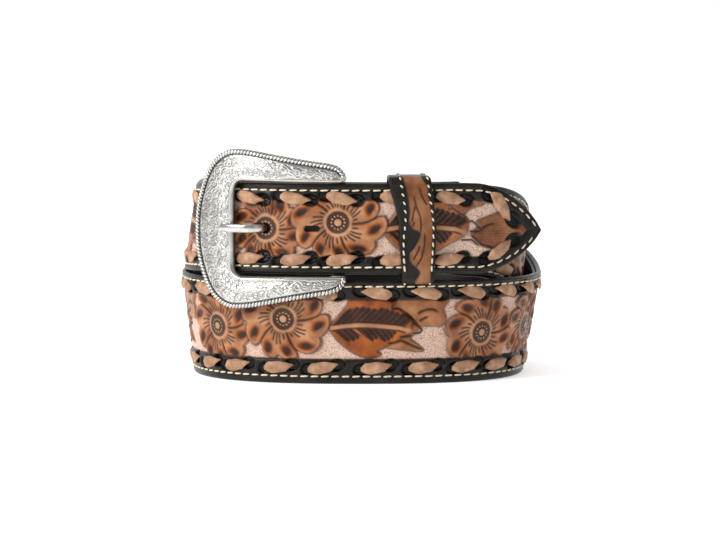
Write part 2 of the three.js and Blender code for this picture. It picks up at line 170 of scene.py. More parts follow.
def place(s, out, z):
    """Points by distance along the plan oval, distance out from it, and height."""
    s, out, z = np.broadcast_arrays(np.asarray(s, float), out, z)
    w = np.mod(s, TURN)
    x = np.interp(w, PLAN_S, PLAN_X)
    y = np.interp(w, PLAN_S, PLAN_Y)
    gx = np.sign(x) * (np.abs(x) / COIL_HALF_X) ** (COIL_POWER - 1) / COIL_HALF_X
    gy = np.sign(y) * (np.abs(y) / COIL_HALF_Y) ** (COIL_POWER - 1) / COIL_HALF_Y
    g = np.hypot(gx, gy)
    return np.stack([x + gx / g * out + CENTRE_SHIFT[0], y + gy / g * out + CENTRE_SHIFT[1], z], -1)


def distance_at(x, out):
    """Distances along the front where points that far out have the given x."""
    s = np.linspace(-TURN / 4, TURN / 4, 4001)
    return np.interp(x, place(s, out, 0)[:, 0], s)


def lean_at(t):
    return np.radians(eased(LEAN, t))


def width_at(t):
    grow = smooth(t, 0.065, 0.28) - smooth(t, 1.35, 1.6)
    return BILLET_WIDTH + (BODY_WIDTH - BILLET_WIDTH) * grow


def offset_at(t):
    free = np.maximum(0, (t - TIP_TURN + TIP_FREE) / TIP_FREE)
    tuck = UPPER_TUCK * (smooth(t, 1.55, 1.7) - smooth(t, 1.8, 1.95))
    return (TIP_SPRING * free ** 1.6 - (STRAP_THICK + PLY_GAP) * eased(PLIES, t) - tuck
            - np.abs(np.sin(lean_at(t))) * width_at(t) / 2)


def height_at(t):
    t = np.asarray(t, float)
    low = width_at(t) / 2 * np.cos(lean_at(t))
    start = BILLET_HEIGHT - BEHIND_DROP * smooth(t, 0.062, 0.105)
    inner = start + (low - start) * smooth(t, 0.1, 0.4)
    left = LEFT_HEIGHT + (BILLET_HEIGHT - LEFT_HEIGHT) * smooth(t, 1.77, 1.9)
    top = left - TIP_DROP * smooth(t, 2.07, TIP_TURN + 0.03)
    outer = low + (top - low) * smooth(t, 1.23, 1.6)
    return np.where(t < 1, inner, outer)


def half_at(t):
    left = (TIP_TURN - t) * TURN / TAPER_LENGTH
    q = np.clip(1 - left, 0, 1)
    taper = TIP_HALF + (BILLET_WIDTH / 2 - TIP_HALF) * (1 - q ** 1.8) ** 0.8
    return np.where(left >= 1, width_at(t) / 2, taper)


def on_strap(t, across, depth):
    """Points of the strap by turn of the coil, distance across it, and depth of leather."""
    step = 1 / 960
    lean = lean_at(t)
    slope = np.arctan((height_at(t + step) - height_at(t - step)) / (2 * step * TURN))
    return place(t * TURN - np.sin(slope) * across,
                 offset_at(t) + depth + np.sin(lean) * across,
                 height_at(t) + np.cos(slope) * np.cos(lean) * across)


# Meshes

def new_mesh(name, points, quads, triangles=(), values=None):
    """A mesh from points in millimetres, turned outwards, with values on its points."""
    points = np.asarray(points, float)
    quads = np.asarray(quads, int).reshape(-1, 4)
    triangles = np.asarray(triangles, int).reshape(-1, 3)
    fans = np.concatenate([quads[:, [0, 1, 2]], quads[:, [0, 2, 3]], triangles])
    a, b, c = (points[fans[:, k]] for k in range(3))
    if np.einsum("ij,ij->i", a, np.cross(b, c)).sum() < 0:
        quads, triangles = quads[:, ::-1], triangles[:, ::-1]
    mesh = bpy.data.meshes.new(name)
    mesh.vertices.add(len(points))
    mesh.vertices.foreach_set("co", (points * MM).ravel())
    mesh.loops.add(quads.size + triangles.size)
    mesh.loops.foreach_set("vertex_index", np.concatenate([quads.ravel(), triangles.ravel()]))
    mesh.polygons.add(len(quads) + len(triangles))
    starts = np.concatenate([np.arange(len(quads)) * 4,
                             quads.size + np.arange(len(triangles)) * 3])
    mesh.polygons.foreach_set("loop_start", starts)
    mesh.update(calc_edges=True)
    mesh.validate()
    mesh.shade_smooth()
    mesh.set_sharp_from_angle(angle=math.radians(75))
    for key, value in (values or {}).items():
        store = mesh.attributes.new(key, "FLOAT", "POINT")
        store.data.foreach_set("value", np.asarray(value, np.float32).ravel())
    return mesh


def skin(name, rings, values=None, loop=False):
    """A closed skin through rings of points. A run that is no loop gets a fan at each end."""
    n, m = rings.shape[:2]
    i = np.arange(n if loop else n - 1)[:, None]
    j = np.arange(m)[None, :]
    k = (j + 1) % m
    after = ((i + 1) % n) * m
    quads = np.stack([i * m + j, i * m + k, after + k, after + j], -1).reshape(-1, 4)
    points = rings.reshape(-1, 3)
    triangles = []
    if not loop:
        points = np.concatenate([points, [rings[0].mean(0), rings[-1].mean(0)]])
        j, k, end = j.ravel(), k.ravel(), (n - 1) * m
        triangles = np.concatenate([np.stack([np.full(m, n * m), k, j], -1),
                                    np.stack([np.full(m, n * m + 1), end + j, end + k], -1)])
        values = {key: np.concatenate([v.ravel(), [v.ravel()[0], v.ravel()[-1]]])
                  for key, v in (values or {}).items()}
    return new_mesh(name, points, quads, triangles, values)


def add_piece(name, mesh, material, nodes):
    """Links a finished piece that rides on the belt's one body and stands for CAD nodes."""
    mesh.materials.clear()
    mesh.materials.append(material)
    obj = bpy.data.objects.new(name, mesh)
    bpy.context.scene.collection.objects.link(obj)
    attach(obj, "root")
    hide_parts(*nodes)
    return obj


def joined_mesh(name, meshes):
    """One mesh from several."""
    whole = bmesh.new()
    for mesh in meshes:
        whole.from_mesh(mesh)
    result = bpy.data.meshes.new(name)
    whole.to_mesh(result)
    whole.free()
    return result


# Geometry Nodes: one piece set along a row of points

def row_nodes():
    """Sets a piece on each point, its length along the row and its top facing outwards."""
    tree = bpy.data.node_groups.new("set_pieces_in_a_row", "GeometryNodeTree")
    sockets = {}
    for name, kind in (("Geometry", "NodeSocketGeometry"), ("Piece", "NodeSocketObject"),
                       ("Material", "NodeSocketMaterial"), ("Skew", "NodeSocketFloat"),
                       ("Unevenness", "NodeSocketFloat"), ("Seed", "NodeSocketInt")):
        sockets[name] = tree.interface.new_socket(name, in_out="INPUT", socket_type=kind)
    tree.interface.new_socket("Geometry", in_out="OUTPUT", socket_type="NodeSocketGeometry")
    add, link = tree.nodes.new, tree.links.new
    given, result = add("NodeGroupInput"), add("NodeGroupOutput")

    def stored(name):
        node = add("GeometryNodeInputNamedAttribute")
        node.data_type = "FLOAT_VECTOR"
        node.inputs["Name"].default_value = name
        return node.outputs["Attribute"]

    face = add("FunctionNodeAlignRotationToVector")
    face.axis = "Z"
    link(stored("facing"), face.inputs["Vector"])
    turn = add("FunctionNodeAlignRotationToVector")
    turn.axis, turn.pivot_axis = "X", "Z"
    link(face.outputs["Rotation"], turn.inputs["Rotation"])
    link(stored("along"), turn.inputs["Vector"])

    uneven = add("FunctionNodeRandomValue")
    uneven.data_type = "FLOAT"
    spread = add("ShaderNodeMath")
    spread.operation = "MULTIPLY"
    spread.inputs[1].default_value = -1
    link(given.outputs["Unevenness"], spread.inputs[0])
    link(spread.outputs[0], uneven.inputs["Min"])
    link(given.outputs["Unevenness"], uneven.inputs["Max"])
    link(given.outputs["Seed"], uneven.inputs["Seed"])
    total = add("ShaderNodeMath")
    total.operation = "ADD"
    link(given.outputs["Skew"], total.inputs[0])
    link(uneven.outputs["Value"], total.inputs[1])
    axis = add("FunctionNodeAxisAngleToRotation")
    axis.inputs["Axis"].default_value = (0, 0, 1)
    link(total.outputs[0], axis.inputs["Angle"])
    skewed = add("FunctionNodeRotateRotation")
    skewed.rotation_space = "LOCAL"
    link(turn.outputs["Rotation"], skewed.inputs["Rotation"])
    link(axis.outputs["Rotation"], skewed.inputs["Rotate By"])

    info = add("GeometryNodeObjectInfo")
    link(given.outputs["Piece"], info.inputs["Object"])
    setter = add("GeometryNodeInstanceOnPoints")
    link(given.outputs["Geometry"], setter.inputs["Points"])
    link(info.outputs["Geometry"], setter.inputs["Instance"])
    link(skewed.outputs["Rotation"], setter.inputs["Rotation"])
    link(stored("size"), setter.inputs["Scale"])
    real = add("GeometryNodeRealizeInstances")
    link(setter.outputs["Instances"], real.inputs["Geometry"])
    paint = add("GeometryNodeSetMaterial")
    link(real.outputs["Geometry"], paint.inputs["Geometry"])
    link(given.outputs["Material"], paint.inputs["Material"])
    link(paint.outputs["Geometry"], result.inputs["Geometry"])
    return tree, {name: socket.identifier for name, socket in sockets.items()}


ROW_TREE, ROW_INPUTS = row_nodes()


def row_mesh(name, points, along, facing, piece, material, size=1.0, skew=0.0, uneven=0.0, seed=1):
    """The mesh of a piece repeated on points. Points are in millimetres."""
    points = np.asarray(points, float)
    mesh = bpy.data.meshes.new(name)
    mesh.vertices.add(len(points))
    mesh.vertices.foreach_set("co", (points * MM).ravel())
    sizes = np.broadcast_to(np.asarray(size, float).reshape(-1, 1), (len(points), 3))
    for key, value in (("along", along), ("facing", facing), ("size", sizes)):
        store = mesh.attributes.new(key, "FLOAT_VECTOR", "POINT")
        store.data.foreach_set("vector", np.ascontiguousarray(value, np.float32).ravel())
    holder = bpy.data.objects.new(name, mesh)
    pattern = bpy.data.objects.new(name + "_pattern", piece)
    bpy.context.scene.collection.objects.link(holder)
    bpy.context.scene.collection.objects.link(pattern)
    nodes = holder.modifiers.new("row", "NODES")
    nodes.node_group = ROW_TREE
    for key, value in (("Piece", pattern), ("Material", material), ("Skew", float(skew)),
                       ("Unevenness", float(uneven)), ("Seed", int(seed))):
        nodes[ROW_INPUTS[key]] = value
    depsgraph = bpy.context.evaluated_depsgraph_get()
    result = bpy.data.meshes.new_from_object(holder.evaluated_get(depsgraph), depsgraph=depsgraph)
    result.name = name
    holder.modifiers.clear()
    for obj in (holder, pattern):
        bpy.data.objects.remove(obj)
    for key in ("along", "facing", "size"):
        if key in result.attributes:
            result.attributes.remove(result.attributes[key])
    return result


# Materials

def new_material(name):
    material = bpy.data.materials.new(name)
    material.use_nodes = True
    nodes, links = material.node_tree.nodes, material.node_tree.links
    return material, nodes, links, nodes["Principled BSDF"]


def colour(code):
    """A linear colour from a six-digit web colour."""
    parts = [int(code[i:i + 2], 16) / 255 for i in (1, 3, 5)]
    linear = [p / 12.92 if p <= 0.04045 else ((p + 0.055) / 1.055) ** 2.4 for p in parts]
    return tuple(linear) + (1.0,)


def mix_colour(nodes, links, factor, first, second):
    """A colour between two. Each may be a socket or a colour."""
    node = nodes.new("ShaderNodeMix")
    node.data_type = "RGBA"
    for value, key in ((factor, 0), (first, 6), (second, 7)):
        if isinstance(value, bpy.types.NodeSocket):
            links.new(value, node.inputs[key])
        else:
            node.inputs[key].default_value = value
    return node.outputs[2]


def sums(nodes, links, operation, first, second):
    node = nodes.new("ShaderNodeMath")
    node.operation = operation
    for value, key in ((first, 0), (second, 1)):
        if isinstance(value, bpy.types.NodeSocket):
            links.new(value, node.inputs[key])
        else:
            node.inputs[key].default_value = value
    return node.outputs[0]


def ramp(nodes, links, value, *stops):
    node = nodes.new("ShaderNodeValToRGB")
    elements = node.color_ramp.elements
    while len(elements) < len(stops):
        elements.new(0.5)
    for element, (position, shade) in zip(elements, stops):
        element.position = position
        element.color = shade if isinstance(shade, tuple) else (shade, shade, shade, 1)
    links.new(value, node.inputs["Fac"])
    return node.outputs["Color"]


def stored(nodes, name):
    node = nodes.new("ShaderNodeAttribute")
    node.attribute_name = name
    return node.outputs["Fac"]


def leather_grain():
    """Fine creased grain of tanned leather: a height, and a tone that drifts over the hide."""
    group = bpy.data.node_groups.new("leather_grain", "ShaderNodeTree")
    new_socket = group.interface.new_socket
    new_socket("Vector", in_out="INPUT", socket_type="NodeSocketVector")
    for name, value in (("Pore Scale", 1400), ("Drift Scale", 120)):
        new_socket(name, in_out="INPUT", socket_type="NodeSocketFloat").default_value = value
    new_socket("Height", in_out="OUTPUT", socket_type="NodeSocketFloat")
    new_socket("Tone", in_out="OUTPUT", socket_type="NodeSocketFloat")
    nodes, links = group.nodes, group.links
    given, result = nodes.new("NodeGroupInput"), nodes.new("NodeGroupOutput")
    cells = nodes.new("ShaderNodeTexVoronoi")
    cells.feature = "DISTANCE_TO_EDGE"
    links.new(given.outputs["Vector"], cells.inputs["Vector"])
    links.new(given.outputs["Pore Scale"], cells.inputs["Scale"])
    creases = nodes.new("ShaderNodeTexNoise")
    creases.inputs["Detail"].default_value = 6
    links.new(given.outputs["Vector"], creases.inputs["Vector"])
    links.new(given.outputs["Pore Scale"], creases.inputs["Scale"])
    edge = ramp(nodes, links, cells.outputs["Distance"], (0.0, 0.0), (0.35, 1.0))
    height = sums(nodes, links, "MULTIPLY_ADD", edge, 0.6)
    links.new(creases.outputs["Fac"], height.node.inputs[2])
    links.new(height, result.inputs["Height"])
    drift = nodes.new("ShaderNodeTexNoise")
    drift.inputs["Detail"].default_value = 4
    links.new(given.outputs["Vector"], drift.inputs["Vector"])
    links.new(given.outputs["Drift Scale"], drift.inputs["Scale"])
    links.new(drift.outputs["Fac"], result.inputs["Tone"])
    return group


GRAIN = leather_grain()


def place_grain(nodes, links, pore=1400.0, drift=120.0):
    node = nodes.new("ShaderNodeGroup")
    node.node_tree = GRAIN
    coords = nodes.new("ShaderNodeTexCoord")
    links.new(coords.outputs["Object"], node.inputs["Vector"])
    node.inputs["Pore Scale"].default_value = pore
    node.inputs["Drift Scale"].default_value = drift
    return node, coords.outputs["Object"]


def bump(nodes, links, shader, height, strength, distance):
    node = nodes.new("ShaderNodeBump")
    node.inputs["Strength"].default_value = strength
    node.inputs["Distance"].default_value = distance
    links.new(height, node.inputs["Height"])
    links.new(node.outputs["Normal"], shader.inputs["Normal"])


def carved_leather():
    """Tooled leather: tan relief, pebbled ground, dark wash in the cuts and a black border, with
    painted highlights on raised tooling and painted shade in the lace slits and belt holes.
    """
    material, nodes, links, shader = new_material("carved_leather")
    grain, coords = place_grain(nodes, links)
    tone = grain.outputs["Tone"]
    tan = ramp(nodes, links, tone, (0.3, colour("#7a492c")), (0.5, colour("#9d6845")),
               (0.7, colour("#bd8a65")))
    pebbles = nodes.new("ShaderNodeTexVoronoi")
    pebbles.inputs["Scale"].default_value = 1650
    links.new(coords, pebbles.inputs["Vector"])
    dimples = ramp(nodes, links, pebbles.outputs["Distance"], (0.1, colour("#e6cbba")),
                   (0.5, colour("#d3b3a1")), (0.85, colour("#a98876")))
    shade = mix_colour(nodes, links, stored(nodes, "pebble"), tan, dimples)
    amber = ramp(nodes, links, tone, (0.3, colour("#682b08")), (0.7, colour("#ab5814")))
    shade = mix_colour(nodes, links, stored(nodes, "amber"), shade, amber)
    # Painted highlight: a pale colour where raised tooling would catch the light.
    shade = mix_colour(nodes, links, stored(nodes, "light"), shade, colour("#d2b18e"))
    spot = ramp(nodes, links, tone, (0.3, colour("#160c0b")), (0.7, colour("#301d1a")))
    shade = mix_colour(nodes, links, stored(nodes, "spot"), shade, spot)
    shade = mix_colour(nodes, links, stored(nodes, "cut"), shade, colour("#2a120a"))
    border = ramp(nodes, links, tone, (0.3, colour("#110f0d")), (0.7, colour("#25201c")))
    shade = mix_colour(nodes, links, stored(nodes, "border"), shade, border)
    # Painted shade: near-black in the lace slits and belt holes.
    pit_shade = mix_colour(nodes, links, stored(nodes, "pit_shade"), shade, colour("#050404"))
    links.new(pit_shade, shader.inputs["Base Color"])
    rough = ramp(nodes, links, grain.outputs["Height"], (0.2, 0.42), (1.0, 0.28))
    links.new(rough, shader.inputs["Roughness"])
    shader.inputs["Specular IOR Level"].default_value = 0.22
    pebbled = sums(nodes, links, "MULTIPLY", pebbles.outputs["Distance"], stored(nodes, "pebble"))
    pebbled = sums(nodes, links, "MULTIPLY", pebbled, -2.0)
    height = sums(nodes, links, "MULTIPLY_ADD", grain.outputs["Height"], 0.35)
    links.new(pebbled, height.node.inputs[2])
    bump(nodes, links, shader, height, 0.6, 0.00025)
    return material


def black_leather():
    material, nodes, links, shader = new_material("black_finished_leather")
    grain, _ = place_grain(nodes, links, 900, 90)
    links.new(ramp(nodes, links, grain.outputs["Tone"], (0.3, colour("#100e0d")),
                   (0.7, colour("#221e1b"))), shader.inputs["Base Color"])
    links.new(ramp(nodes, links, grain.outputs["Height"], (0.2, 0.52), (1.0, 0.36)),
              shader.inputs["Roughness"])
    shader.inputs["Specular IOR Level"].default_value = 0.2
    bump(nodes, links, shader, grain.outputs["Height"], 0.35, 0.0002)
    return material


def lace_leather():
    material, nodes, links, shader = new_material("rawhide_lace")
    grain, _ = place_grain(nodes, links, 1800, 260)
    links.new(ramp(nodes, links, grain.outputs["Tone"], (0.3, colour("#8a6248")),
                   (0.5, colour("#a87d5e")), (0.72, colour("#c49c7c"))), shader.inputs["Base Color"])
    links.new(ramp(nodes, links, grain.outputs["Height"], (0.2, 0.62), (1.0, 0.48)),
              shader.inputs["Roughness"])
    bump(nodes, links, shader, grain.outputs["Height"], 0.5, 0.0002)
    return material


def waxed_thread():
    material, nodes, links, shader = new_material("waxed_thread")
    coords = nodes.new("ShaderNodeTexCoord")
    fibres = nodes.new("ShaderNodeTexNoise")
    fibres.inputs["Scale"].default_value = 2600
    links.new(coords.outputs["Object"], fibres.inputs["Vector"])
    links.new(ramp(nodes, links, fibres.outputs["Fac"], (0.3, colour("#c9b592")),
                   (0.65, colour("#efe2c6"))), shader.inputs["Base Color"])
    links.new(ramp(nodes, links, fibres.outputs["Fac"], (0.3, 0.75), (0.7, 0.55)),
              shader.inputs["Roughness"])
    bump(nodes, links, shader, fibres.outputs["Fac"], 0.4, 0.0002)
    return material


def antique_silver():
    """Plated metal, bright where it is polished and dark where it is engraved."""
    material, nodes, links, shader = new_material("antique_silver")
    coords = nodes.new("ShaderNodeTexCoord")
    haze = nodes.new("ShaderNodeTexNoise")
    haze.inputs["Scale"].default_value = 220
    haze.inputs["Detail"].default_value = 5
    links.new(coords.outputs["Object"], haze.inputs["Vector"])
    plate = ramp(nodes, links, haze.outputs["Fac"], (0.3, colour("#b3b0ab")),
                 (0.7, colour("#d3d1cd")))
    tarnish_and_shade = mix_colour(nodes, links, stored(nodes, "tarnish_and_shade"), plate, colour("#211e1c"))
    links.new(tarnish_and_shade, shader.inputs["Base Color"])
    shader.inputs["Metallic"].default_value = 1
    rough = ramp(nodes, links, haze.outputs["Fac"], (0.3, 0.3), (0.7, 0.2))
    dull = mix_colour(nodes, links, stored(nodes, "tarnish_and_shade"), rough, (0.6, 0.6, 0.6, 1))
    links.new(dull, shader.inputs["Roughness"])
    bump(nodes, links, shader, haze.outputs["Fac"], 0.08, 0.0002)
    return material


def pale_floor():
    material, nodes, links, shader = new_material("pale_floor")
    coords = nodes.new("ShaderNodeTexCoord")
    mottle = nodes.new("ShaderNodeTexNoise")
    mottle.inputs["Scale"].default_value = 2
    links.new(coords.outputs["Object"], mottle.inputs["Vector"])
    links.new(ramp(nodes, links, mottle.outputs["Fac"], (0.3, (0.94, 0.94, 0.94, 1)),
                   (0.7, (0.97, 0.97, 0.97, 1))), shader.inputs["Base Color"])
    shader.inputs["Roughness"].default_value = 0.85
    shader.inputs["Emission Color"].default_value = (1, 1, 1, 1)
    shader.inputs["Emission Strength"].default_value = 0.5
    return material


# Tooling: the strap's face laid flat, with its relief and its colour masks

# The fourth mask is painted highlight; the last is painted shade in the lace slits and belt holes.
MASKS = ("cut", "spot", "amber", "light", "pebble", "border", "pit_shade")
LAID_MASKS = MASKS[:5]
GROUND_DEPTH = -0.75


class Face:
    """Relief and masks on rows of points: distance along the strap, and across it."""

    def __init__(self, along, across):
        self.along = along
        self.across = across
        self.relief = np.zeros(across.shape)
        self.mask = {name: np.zeros(across.shape) for name in MASKS}

    def near(self, middle, reach):
        rows = np.nonzero(np.abs(self.along - middle) < reach)[0]
        return slice(rows[0], rows[-1] + 1) if len(rows) else None

    def lay(self, rows, inside, relief=None, **masks):
        """Lays a form over what is there, where inside is 1."""
        if relief is not None:
            self.relief[rows] += (relief - self.relief[rows]) * inside
        for name in LAID_MASKS:
            value = masks.get(name, 0.0)
            self.mask[name][rows] += (value - self.mask[name][rows]) * inside

    def stain(self, rows, amount, name, depth=0.0):
        """Adds to a mask, and sinks the surface with it."""
        self.mask[name][rows] = np.maximum(self.mask[name][rows], amount)
        self.relief[rows] -= depth * amount


def ridge(distance, width):
    return np.exp(-(distance / width) ** 2)


def path_distance(l, v, points):
    """Distance from each place to a line through points, and how far along it, 0 to 1."""
    points = np.asarray(points, float)
    best = np.full(l.shape, 1e9)
    share = np.zeros(l.shape)
    lengths = np.hypot(*np.diff(points, axis=0).T)
    total, run = lengths.sum(), 0.0
    for a, b, length in zip(points, points[1:], lengths):
        q = ((l - a[0]) * (b[0] - a[0]) + (v - a[1]) * (b[1] - a[1])) / length ** 2
        q = np.clip(q, 0, 1)
        d = np.hypot(l - a[0] - q * (b[0] - a[0]), v - a[1] - q * (b[1] - a[1]))
        closer = d < best
        best = np.where(closer, d, best)
        share = np.where(closer, (run + q * length) / total, share)
        run += length
    return best, share


def inside_outline(l, v, points, soft=0.35):
    """1 inside a closed outline and 0 outside, with a soft edge, and the distance to it."""
    points = np.asarray(points, float)
    inside = np.zeros(l.shape, bool)
    for a, b in zip(points, np.roll(points, -1, axis=0)):
        crosses = (a[1] > v) != (b[1] > v)
        with np.errstate(divide="ignore", invalid="ignore"):
            edge = (b[0] - a[0]) * (v - a[1]) / (b[1] - a[1]) + a[0]
        inside ^= crosses & (l < edge)
    distance, _ = path_distance(l, v, np.vstack([points, points[:1]]))
    signed = np.where(inside, distance, -distance)
    return smooth(signed, -soft, soft), signed


def curve_spans(a, b, c, d, steps):
    """Points of a smooth curve from each b to its c. Each a comes before them and each d after."""
    q = np.linspace(0, 1, steps, endpoint=False)[:, None, None]
    curve = 0.5 * (2 * b + (c - a) * q + (2 * a - 5 * b + 4 * c - d) * q ** 2
                   + (3 * b - a - 3 * c + d) * q ** 3)
    return curve.transpose(1, 0, 2).reshape(-1, b.shape[1])


def rounded(points, steps):
    """A smooth closed line through points."""
    p = np.asarray(points, float)
    return curve_spans(*(np.roll(p, k, axis=0) for k in (1, 0, -1, -2)), steps)


def carve_line(face, points, width=0.5, depth=0.45, fade=0.12):
    """A swivel-knife cut along a line, thinning out at its ends."""
    points = np.asarray(points, float)
    middle = (points[:, 0].min() + points[:, 0].max()) / 2
    rows = face.near(middle, (points[:, 0].max() - points[:, 0].min()) / 2 + 2)
    if rows is None:
        return
    l = np.broadcast_to(face.along[rows, None], face.across[rows].shape)
    distance, share = path_distance(l, face.across[rows], points)
    taper = smooth(share, 0, fade) * (1 - 0.6 * smooth(share, 1 - fade, 1))
    amount = ridge(distance, width) * taper
    face.stain(rows, amount, "cut", depth)
    face.relief[rows] += 0.1 * ridge(distance - 2.2 * width, width) * taper


DIVIDERS = [67, 132, 212, 281, 354]
DISC = 4.75
SEEDS = 12


def carve_flower(face, middle, across, reach=(17.0, 15.0), turn=0.0, swirl=15.0):
    """A five-petalled flower. Each petal has two lobes with a dark hollow in each."""
    rows = face.near(middle, reach[0] * 1.25)
    if rows is None:
        return
    dl = face.along[rows, None] - middle
    dv = face.across[rows] - across
    r = np.hypot(dl, dv)
    angle = np.degrees(np.arctan2(dv, dl))
    bend = swirl * np.clip((r - DISC) / 12, 0, 1.3) ** 1.5
    oval = 1 / np.sqrt((np.cos(np.radians(angle)) / reach[0]) ** 2
                       + (np.sin(np.radians(angle)) / reach[1]) ** 2)
    angle = np.mod(angle - turn - bend - DIVIDERS[0], 360)
    starts = np.array(DIVIDERS) - DIVIDERS[0]
    ends = np.append(starts[1:], 360)
    petal = np.clip(np.searchsorted(starts, angle, side="right") - 1, 0, 4)
    wide = (ends - starts)[petal]
    u = (angle - starts[petal]) / wide
    sector = np.radians(wide) * r
    lobes = np.abs(np.sin(2 * np.pi * u)) ** 0.7
    near_gap = 1 - smooth(np.minimum(u, 1 - u), 0, 0.12)
    edge = oval * (0.87 + 0.13 * lobes - 0.08 * near_gap + 0.03 * np.sin(petal * 2.4 + 1))
    inside = 1 - smooth(r, edge - 0.3, edge + 0.3)
    share = r / edge
    crease = 0.35 * ridge((u - 0.5) * sector, 1.6) * smooth(share, 0.5, 0.9)
    cup = 0.7 * smooth(share, 0.35, 0.95) - crease
    face.lay(rows, inside, relief=-0.34 + cup)
    wash = (0.25 + 0.5 * smooth(share, 0.5, 0.95)) * inside
    face.mask["amber"][rows] = np.maximum(face.mask["amber"][rows], 0.32 * wash)
    hollow = np.zeros_like(r)
    for lobe, far in ((0.24, 0.8), (0.76, 0.78)):
        reach_out = (r - far * edge) / 3.0
        hollow = np.maximum(hollow, np.exp(-reach_out ** 2 - ((u - lobe) * sector / 2.4) ** 2))
    face.mask["amber"][rows] = np.maximum(face.mask["amber"][rows],
                                          np.clip(hollow * 2.2, 0, 0.95) * inside)
    face.stain(rows, smooth(hollow, 0.22, 0.85) * inside * 0.95, "spot", 0.75)
    strokes = np.zeros_like(r)
    for place_in_petal, long in ((0.17, 8.6), (0.33, 10.8), (0.47, 11.6), (0.6, 11.2), (0.8, 9)):
        lean = place_in_petal + 0.012 * (r - 7) + 0.02 * np.sin(petal * 2.1)
        stroke = ridge((u - lean) * sector, 0.4)
        stroke = stroke * smooth(r, 5.7, 6.9) * (1 - smooth(r, long - 0.6, long + 0.4))
        strokes = np.maximum(strokes, stroke)
    face.stain(rows, strokes * inside, "cut", 0.55)
    between = ridge(np.minimum(u, 1 - u) * sector, 0.6) * smooth(r, 5.2, 6.5)
    face.stain(rows, between * inside, "cut", 0.65)
    outline = ridge(r - edge - 0.2, 0.55) * 0.6
    face.stain(rows, outline, "cut", 0.3)
    # Painted shade: an amber-brown darkening of the ground just outside each petal.
    shade = np.exp(-np.maximum(0, r - edge) / 1.4) * (1 - inside) * 0.45
    face.mask["amber"][rows] = np.maximum(face.mask["amber"][rows], shade)
    # Painted highlight: a pale line just inside each petal's edge and a pale streak down its middle.
    lit = ridge(r - edge + 0.85, 0.5) * 0.15 * inside
    lit = lit + 0.2 * ridge((u - 0.5) * 2, 0.45) * inside_band(share, 0.35, 0.8) * inside
    face.mask["light"][rows] = np.maximum(face.mask["light"][rows], lit)

    disc = 1 - smooth(r, DISC - 0.25, DISC + 0.25)
    face.lay(rows, disc, relief=-0.25, spot=0.88)
    face.relief[rows] += 0.12 * ridge(r - DISC - 0.4, 0.45)
    # Painted highlight on the raised ring round the disc.
    rim = ridge(r - DISC - 0.7, 0.6) * 0.3
    face.mask["light"][rows] = np.maximum(face.mask["light"][rows], rim * (1 - disc))
    # The seed dots and the button are lightened with painted highlight.
    around = np.degrees(np.arctan2(dv, dl)) * SEEDS / 360
    dots = np.hypot(r - 2.75, (around - np.round(around)) * 2 * np.pi * r / SEEDS)
    dot = 1 - smooth(dots, 0.18, 0.46)
    face.lay(rows, dot, relief=0.08, light=0.95)
    button = 1 - smooth(r, 1.35, 1.75)
    face.lay(rows, button, relief=0.14, light=0.3)
    face.stain(rows, ridge(r - 1.9, 0.28) * 0.85, "cut", 0.1)


def inside_band(value, low, high):
    return smooth(value, low - 0.3, low + 0.3) * (1 - smooth(value, high - 0.35, high + 0.35))


# The leaf and its bracts, as read off the photograph: distance from the leaf's pointed
# end, and across the strap.
LEAF = [(-0.1, 2.1), (3.4, 6.7), (7.2, 11.5), (10.2, 15), (26.4, 15), (26.4, 10.3), (28.7, 10.4),
        (31.2, 8.9), (34.5, 5.9), (34.1, 0.7), (31.6, -1.6), (27.4, -3.7), (23.2, -6.1),
        (19.9, -8.2), (21.5, -9.2), (19.4, -10.5), (15.2, -10.8), (10, -8.7), (6.2, -6.1),
        (2.4, -2.3)]
LEAF_DARK_ABOVE = [(0.8, 2.9), (3.3, 6.4), (6.8, 9.4), (10, 10.7), (14.3, 11.1), (18.5, 10.3),
                   (22.7, 10.5), (26, 9.4), (29.4, 8.5), (32.8, 7), (34.1, 5), (32.4, 2.9),
                   (29.4, 2.7), (22.7, 3.4), (12.5, 4), (6.4, 3.5)]
LEAF_DARK_BELOW = [(0.8, 1.2), (6.2, 2.1), (12, 2.4), (17.7, 2.1), (22.7, 1.9), (28.6, 0.8),
                   (27, -1.8), (23.6, -3.7), (20.2, -2.4), (17.3, -3.6), (13.6, -1.6),
                   (10.4, -3.1), (7.5, -3.6), (4.1, -1.8), (1.6, 0.3)]
LEAF_STEM = [(-0.3, 1.8), (3, 2.4), (6.4, 2.9), (12.5, 3.3), (18, 3.1), (22.7, 2.7), (29.5, 2),
             (33.7, 0.7)]


